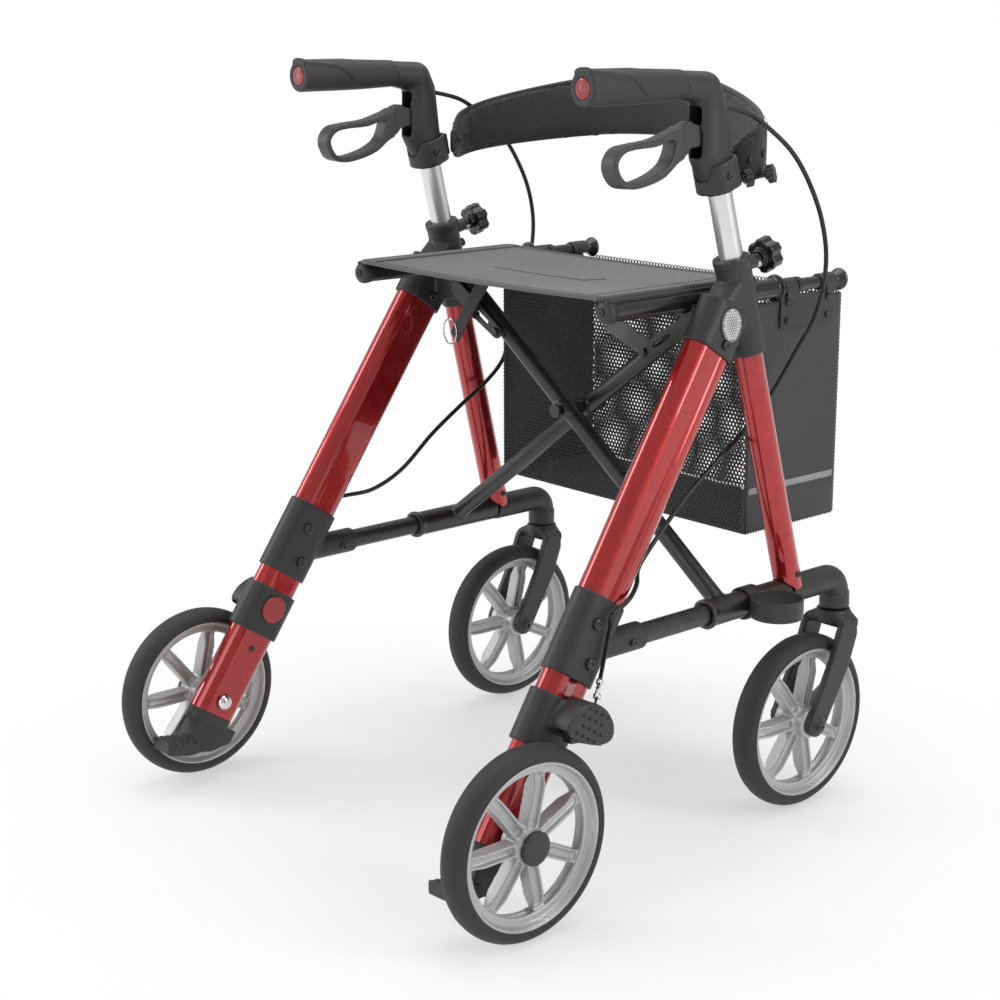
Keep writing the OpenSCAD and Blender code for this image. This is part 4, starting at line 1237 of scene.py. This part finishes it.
for y in (SEAT_REAR + 1.2, SEAT_FRONT - 1.2):
    route = [Vector((x, y, seat_height(x, y))) * MM for x in range(-196, 197, 8)]
    hems.append(lay_out(tube(route, 2.3 * MM, 12), (1, 0, 0), (0, 1, 1)))
    inner = y + (7 if y < 0 else -7)
    line = [Vector((x, inner, seat_height(x, inner) + 1.35)) * MM for x in range(-174, 175, 6)]
    threads += stitch_line(line, 4.4 * MM, lambda p: (0, 0, 1))
hem_piece = fold_seat(piece("seat_hems", join_meshes(hems), seat_cloth, seat_body, "seat_fabric"))
bead_routes = [[Vector((s * 203.5, y, 597.2)) * MM for y in range(SEAT_REAR, SEAT_FRONT, 6)] for s in (-1, 1)]
beads = [lay_out(tube(route, 2.1 * MM, 12), (1, 0, 0), (0, 1, 0)) for route in bead_routes]
bead_piece = fold_seat(piece("seat_beads", join_meshes(beads), band_cloth, seat_body, "seat_fabric"))
flap = [(-70, 44), (77, 44), (86, 68)]
flap_route = [Vector((x, y, seat_height(x, y) + 1.25)) * MM
              for (x0, y0), (x1, y1) in zip(flap, flap[1:]) for x, y in
              ((x0 + (x1 - x0) * t / 20, y0 + (y1 - y0) * t / 20) for t in range(21))]
flap_piece = fold_seat(piece("seat_flap_seam", lay_out(tube(flap_route, 0.75 * MM, 8), (1, 0, 0), (0, 1, 0)),
                             cable_skin, seat_body, "seat_fabric"))
seat_stitches = repeat(stitch, threads, thread_cloth)
stitch_piece = fold_seat(piece("seat_stitches", lay_out(seat_stitches, (1, 0, 0), (0, 1, 0)), thread_cloth,
                               seat_body, "seat_fabric"))
fold_seat(seat_panel)
print("seat", len(seat_mesh.polygons), "faces,", len(threads), "stitches")

# %% [markdown]
# ## The basket
#
# Both large faces are knitted mesh with hexagonal holes. One hexagonal ring is the small part, and
# the repeating tree sets it on a hexagonal lattice that bulges slightly, as a hanging bag does. The
# cut edge of the lattice gives the saw-tooth outline. The ends and floor are plain cloth, each end
# with a reflective stripe near its foot and a stiff plate that hooks over the rail.

# %% Basket panels
HALF, REAR, FRONT, BOTTOM, TOP = 199.0, 173.0, 325.0, 317.0, 571.0
PITCH = 5.2


def bulge(x, z):
    u, v = (x + HALF) / (2 * HALF), (z - BOTTOM) / (TOP - BOTTOM)
    return math.sin(math.pi * min(1, max(0, u))) * math.sin(math.pi * min(1, max(0, v))) ** 0.7


def hex_ring(outer, inner, thick):
    """A closed hexagonal ring whose section is a thin triangle."""
    points, faces = [], []
    for k in range(6):
        c, s = math.cos(math.pi * (k / 3 + 1 / 6)), math.sin(math.pi * (k / 3 + 1 / 6))
        points.append((outer * c, outer * s, 0))
        points += [(inner * c, inner * s, z) for z in (thick / 2, -thick / 2)]
    for k in range(6):
        a, b = 3 * k, 3 * ((k + 1) % 6)
        faces += [(a, b, b + 1, a + 1), (a + 1, b + 1, b + 2, a + 2), (a + 2, b + 2, b, a)]
    return outward(mesh_of("hex_ring", [tuple(x * MM for x in p) for p in points], faces))


ring = hex_ring(PITCH / math.sqrt(3), 0.64 * PITCH / math.sqrt(3), 0.9)
columns = int(2 * HALF / PITCH)
for name, y, out, top in (("rear", REAR, -1, TOP), ("front", FRONT, 1, TOP + 5)):
    cells = []
    for j in range(int((top - BOTTOM) / (PITCH * HEX_ROW))):
        for i in range(columns - (j % 2)):
            x = -HALF + (i + 0.5 + 0.5 * (j % 2)) * PITCH
            z = top - (j + 0.5) * PITCH * HEX_ROW
            at = Vector((x, y + out * 2.5 * bulge(x, z), z)) * MM
            cells.append((at, Vector((0, out, 0)), Vector((1, 0, 0))))
    mesh = lay_out(repeat(ring, cells, mesh_cloth), (1, 0, 0), (0, 0, 1))
    face = piece(f"basket_{name}_mesh", mesh, mesh_cloth, seat_body, "basket_mesh",
                 ("basket",) if name == "rear" else ())
    fold_seat(face)
    print(face.name, len(cells), "cells,", len(mesh.polygons), "faces")


def end_point(s, bow=2.0):
    def point(u, v):
        y, z = REAR + (FRONT - REAR) * u, BOTTOM + (TOP - BOTTOM) * v
        inwards = bow * math.sin(math.pi * u) * math.sin(math.pi * v) ** 0.6
        return Vector((s * (HALF + 0.6 - inwards), y, z)) * MM
    return point


def floor_point(u, v):
    x, y = -HALF + 2 * HALF * u, REAR + (FRONT - REAR) * v
    return Vector((x, y, BOTTOM - 1.5 * math.sin(math.pi * u) * math.sin(math.pi * v))) * MM


tooth = small_part([(-0.6, 1.7), (0.0, 1.7), (2.3, 0)], 6)
for side in SIDES:
    s = 1 if side == "right" else -1
    wall = lay_out(panel(end_point(s), 40, 60, 1.3 * MM), (0, 1, 0), (0, 0, 1))
    wall_piece = piece(f"basket_end_{side}", wall, side_cloth, seat_body, "basket_mesh")

    def stripe_point(u, v, s=s):
        inside = end_point(s)(0.03 + 0.94 * u, 0.168 + 0.030 * v)
        return inside + Vector((s * 1.1 * MM, 0, 0))
    stripe = lay_out(panel(stripe_point, 40, 4, 0.5 * MM), (0, 1, 0), (0, 0, 1))
    stripe_piece = fold_seat(piece(f"basket_stripe_{side}", stripe, stripe_cloth, seat_body, "reflector"))
    teeth = [(Vector((s * HALF, y, BOTTOM + 3 + 4.4 * k)) * MM, Vector((0, t, 0)), Vector((0, 0, 1)))
             for y, t in ((REAR, -1), (FRONT, 1)) for k in range(57)]
    teeth += [(Vector((s * (HALF + 0.5), REAR + 3 + 4.4 * k, z)) * MM, Vector((0, 0, t)), Vector((0, 1, 0)))
              for z, t in ((TOP, 1), (BOTTOM, -1)) for k in range(34)]
    teeth_mesh = lay_out(repeat(tooth, teeth, side_cloth), (0, 1, 0), (0, 0, 1))
    teeth_piece = fold_seat(piece(f"basket_teeth_{side}", teeth_mesh, side_cloth, seat_body, "basket_mesh"))
    studs = [(Vector((s * 203.4, y, z)) * MM, Vector((s, 0, 0)), Vector((0, 0, 1)))
             for y in (231, 299) for z in (549, 569)]
    fold_seat(piece(f"basket_rivets_{side}", repeat(rivet, studs, charcoal), charcoal, seat_body,
                    "black_moulding"))
    fold_seat(wall_piece)
floor_mesh = lay_out(panel(floor_point, 60, 24, 1.3 * MM), (1, 0, 0), (0, 1, 0))
basket_floor = fold_seat(piece("basket_floor", floor_mesh, side_cloth, seat_body, "basket_mesh"))

# %% [markdown]
# ## The back band
#
# The band is a padded strap of ribbed cloth between the two handle clamps. To give it a stuffed
# look, the CAD band is recast as an even skin and inflated by a short cloth simulation with a little
# pressure. The swelling is then capped, so that the band stays the strap it is.

# %% Inflate the band
BAND = [(0, 240), (70, 234), (115, 218), (155, 197), (190, 170), (214, 140), (225, 112)]


def inflate(mesh, pressure=4.0, frames=20, cap=0.0028):
    """Blows a closed mesh up a little with the Cloth modifier, and limits how far it moves."""
    holder = bpy.data.objects.new("inflating", mesh)
    scene.collection.objects.link(holder)
    cloth = holder.modifiers.new("cloth", "CLOTH")
    cloth.settings.use_pressure = True
    cloth.settings.uniform_pressure_force = pressure
    cloth.settings.effector_weights.gravity = 0
    cloth.settings.tension_stiffness = 25
    cloth.settings.compression_stiffness = 25
    cloth.point_cache.frame_start, cloth.point_cache.frame_end = 1, frames
    before = np.array([v.co[:] for v in mesh.vertices])
    for f in range(1, frames + 1):
        scene.frame_set(f)
    graph = bpy.context.evaluated_depsgraph_get()
    blown = bpy.data.meshes.new_from_object(holder.evaluated_get(graph), depsgraph=graph)
    after = np.array([v.co[:] for v in blown.vertices])
    move = after - before
    reach = np.linalg.norm(move, axis=1, keepdims=True)
    after = before + move * np.minimum(1, cap / np.maximum(reach, 1e-9))
    blown.vertices.foreach_set("co", after.ravel())
    bpy.data.objects.remove(holder)
    scene.frame_set(1)
    print("band swelled by up to", round(float(min(reach.max(), cap)) * 1000, 2), "mm")
    return blown


def bow(x, y):
    """How far the band stands out beyond its straight run, near its ends, in millimetres."""
    t = max(0.0, min(1.0, (240 - y) / 128))
    return math.copysign(26 * math.sin(math.pi * t ** 1.8), x)


def band_middle(y):
    return 727.5 + 0.383 * max(0.0, y - 118)


def lobe(y):
    """How tall the band is near its rounded ends, as a share of its full height."""
    return math.sqrt(1 - min(0.9, max(0.0, (134 - y) / 24)) ** 2)


def bowed(mesh):
    for v in mesh.vertices:
        y = v.co.y / MM
        middle = band_middle(y) * MM
        v.co.z = middle + (v.co.z - middle) * lobe(y)
        v.co.x += bow(v.co.x, y) * MM
    return mesh


def band_uv(mesh):
    """Lays the band's weave out along its length and its height."""
    layer = mesh.uv_layers.get("cloth") or mesh.uv_layers.new(name="cloth")
    for loop in mesh.loops:
        co = mesh.vertices[loop.vertex_index].co
        angle = math.atan2(co.x, co.y + 0.02)
        layer.data[loop.index].uv = (angle * 0.24, co.z - 0.45 * max(0.0, co.y - 0.12))
    return mesh


band_mesh = bowed(inflate(recast("backrest", 0.0045, 2)))
band_holder = bpy.data.objects.new("band_holder", band_mesh)
scene.collection.objects.link(band_holder)
round_off = band_holder.modifiers.new("round", "SUBSURF")
round_off.levels = round_off.render_levels = 1
band_mesh = evaluated(band_holder, "band")
band = piece("back_band", band_uv(band_mesh), band_cloth, "handle_left", "backrest_pad", ("backrest",))

# %% Seams and stitches of the band


def band_route(inset, low):
    """A line along the band's outer (+1) or inner (-1) face at a share of its height."""
    out = []
    plan = [(-x, y) for x, y in reversed(BAND[1:])] + BAND
    flat = smooth_route([Vector((x, y, 0)) for x, y in plan], 6)
    for i, p in enumerate(flat):
        ahead = (flat[min(len(flat) - 1, i + 1)] - flat[max(0, i - 1)]).normalized()
        normal = Vector((ahead.y, -ahead.x, 0))
        if normal.y > 0:
            normal = -normal
        rise = max(0.0, p.y - 118)
        bottom, top = 703 + rise * 38 / 132, 752 + rise * 63 / 132
        centre = p + normal * 5
        at = centre - normal * inset
        middle = band_middle(at.y)
        z = middle + (bottom + (top - bottom) * low - middle) * lobe(at.y)
        out.append(Vector((at.x + bow(at.x, at.y), at.y, z)) * MM)
    return out


upper, lower = band_route(0, 0.95), band_route(0, 0.05)
loop = upper + lower[::-1] + upper[:1]
piping, places = band_uv(tube(smooth_route(loop, 3), 3.0 * MM, 12)), []
for inset in (6.9, -6.9):
    for low in (0.13, 0.87):
        line, middle = band_route(inset, low)[3:-3], band_route(0, low)[3:-3]

        def outwards(p, line=line, middle=middle):
            k = min(range(len(line)), key=lambda i: (line[i] - p).length)
            return (line[k] - middle[k]).normalized()
        places += stitch_line(line, 4.6 * MM, outwards)
fold_band(piece("back_band_piping", join_meshes([piping]), band_cloth, "handle_left", "backrest_pad"))
band_thread = band_uv(repeat(stitch, places, thread_cloth))
fold_band(piece("back_band_stitches", band_thread, thread_cloth, "handle_left", "backrest_pad"))
fold_band(band)
studs = []
for inset in (7.2, -7.2):
    line = band_route(inset, 0.5)
    middle = band_route(0, 0.5)
    for i in (3, 6, len(line) - 7, len(line) - 4):
        studs.append((line[i], (line[i] - middle[i]).normalized(), Vector((0, 0, 1))))
fold_band(piece("back_band_rivets", repeat(rivet, studs, charcoal), charcoal, "handle_left", "black_moulding"))

# %% Wing knobs of the band's clamp
wing = recast("knob_right", 0.0009, 5)
hub_low, hub_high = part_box("knob_right")
hub = (hub_low + hub_high) / 2
wings = []
for at, turn in (((233, 118, 712), 35), ((246, 138, 716), 60)):
    copy = wing.copy()
    place_at = Matrix.Translation(Vector(at) * MM) @ Matrix.Rotation(math.radians(-turn), 4, "Z")
    copy.transform(place_at @ Matrix.Scale(0.52, 4) @ Matrix.Translation(-hub))
    wings.append(copy)
fold_band(piece("clamp_wing_knobs", join_meshes(wings), gloss_black, "handle_left", "black_moulding"))
print("band", len(band_mesh.polygons), "faces,", len(places), "stitches")

# %% [markdown]
# ## Pull strap and tab
#
# A short webbing strap runs from the right rail's rear end towards the slotted link, and a webbing
# tab with a wire loop hangs under the seat by the left head. Their hidden ends are a guess.

# %% Strap
STRAP = [(192, -30, 574), (176, 0, 562), (150, 46, 543), (122, 92, 526)]
strap_route = smooth_route([Vector(p) * MM for p in STRAP], 8)


def strap_point(u, v):
    i = min(len(strap_route) - 2, int(v * (len(strap_route) - 1)))
    p = strap_route[i].lerp(strap_route[i + 1], v * (len(strap_route) - 1) - i)
    return p + Vector((0.55, 0.35, 0.75)).normalized() * (u - 0.5) * 19 * MM


strap_mesh = lay_out(panel(strap_point, 8, 40, 1.5 * MM), (1, 0, 0), (0, 1, 0))
strap = piece("pull_strap", strap_mesh, edge_webbing, body_of(nodes["rail_right"])[0], "seat_fabric")


def tab_point(u, v):
    """A stiff webbing tab that hangs under the seat by the left head."""
    p = Vector((-104, 72, 592)).lerp(Vector((-174, 72, 501)), v) + Vector((0.79, 0, -0.61)) * (u - 0.5) * 17
    return (p + Vector((0, -2.5 * math.sin(math.pi * v), 0))) * MM


tab_mesh = lay_out(panel(tab_point, 8, 30, 1.5 * MM), (1, 0, 0), (0, 0, 1))
tab = fold_seat(piece("seat_tab", tab_mesh, band_cloth, seat_body, "seat_fabric"))
turn = [2 * math.pi * k / 32 for k in range(33)]
wire_route = [Vector((-180 + 12 * math.cos(a), 70, 508 + 15 * math.sin(a))) * MM for a in turn]
wire = fold_seat(piece("seat_tab_wire", tube(wire_route, 0.9 * MM, 8, up=(0, 1, 0)), chrome, seat_body,
                       "chrome_fastener"))
print("straps made")

# %% [markdown]
# ## Ground
#
# The ground is a white sheet that takes a soft contact shadow under each wheel and fades to the
# white of the surround, so that no horizon shows.

# %% Floor
floor_material, w, shader, parts = shaded(
    "pale floor", (0.9, 0.9, 0.9), (0.88, 0.88, 0.88), (0.6, 0.7), bump=0.0, wear=0.0, dusty=0.0, specular=0.1)
spot = w.add("ShaderNodeTexCoord").outputs["Object"]
away = w.fade(w.vector("LENGTH", spot), 0.25, 0.75, 0.45, 1.0)
glow = w.add("ShaderNodeEmission", Color=(1, 1, 1, 1), Strength=1.0)
both = w.add("ShaderNodeMixShader", in0=away, in1=shader.outputs["BSDF"], in2=glow.outputs["Emission"])
w.feed(floor_material.node_tree.nodes["Material Output"], "Surface", both.outputs["Shader"])
bpy.ops.mesh.primitive_plane_add(size=14, location=(0, 0, -0.0004))
floor = bpy.context.object
floor.name = "floor"
floor.data.materials.append(floor_material)
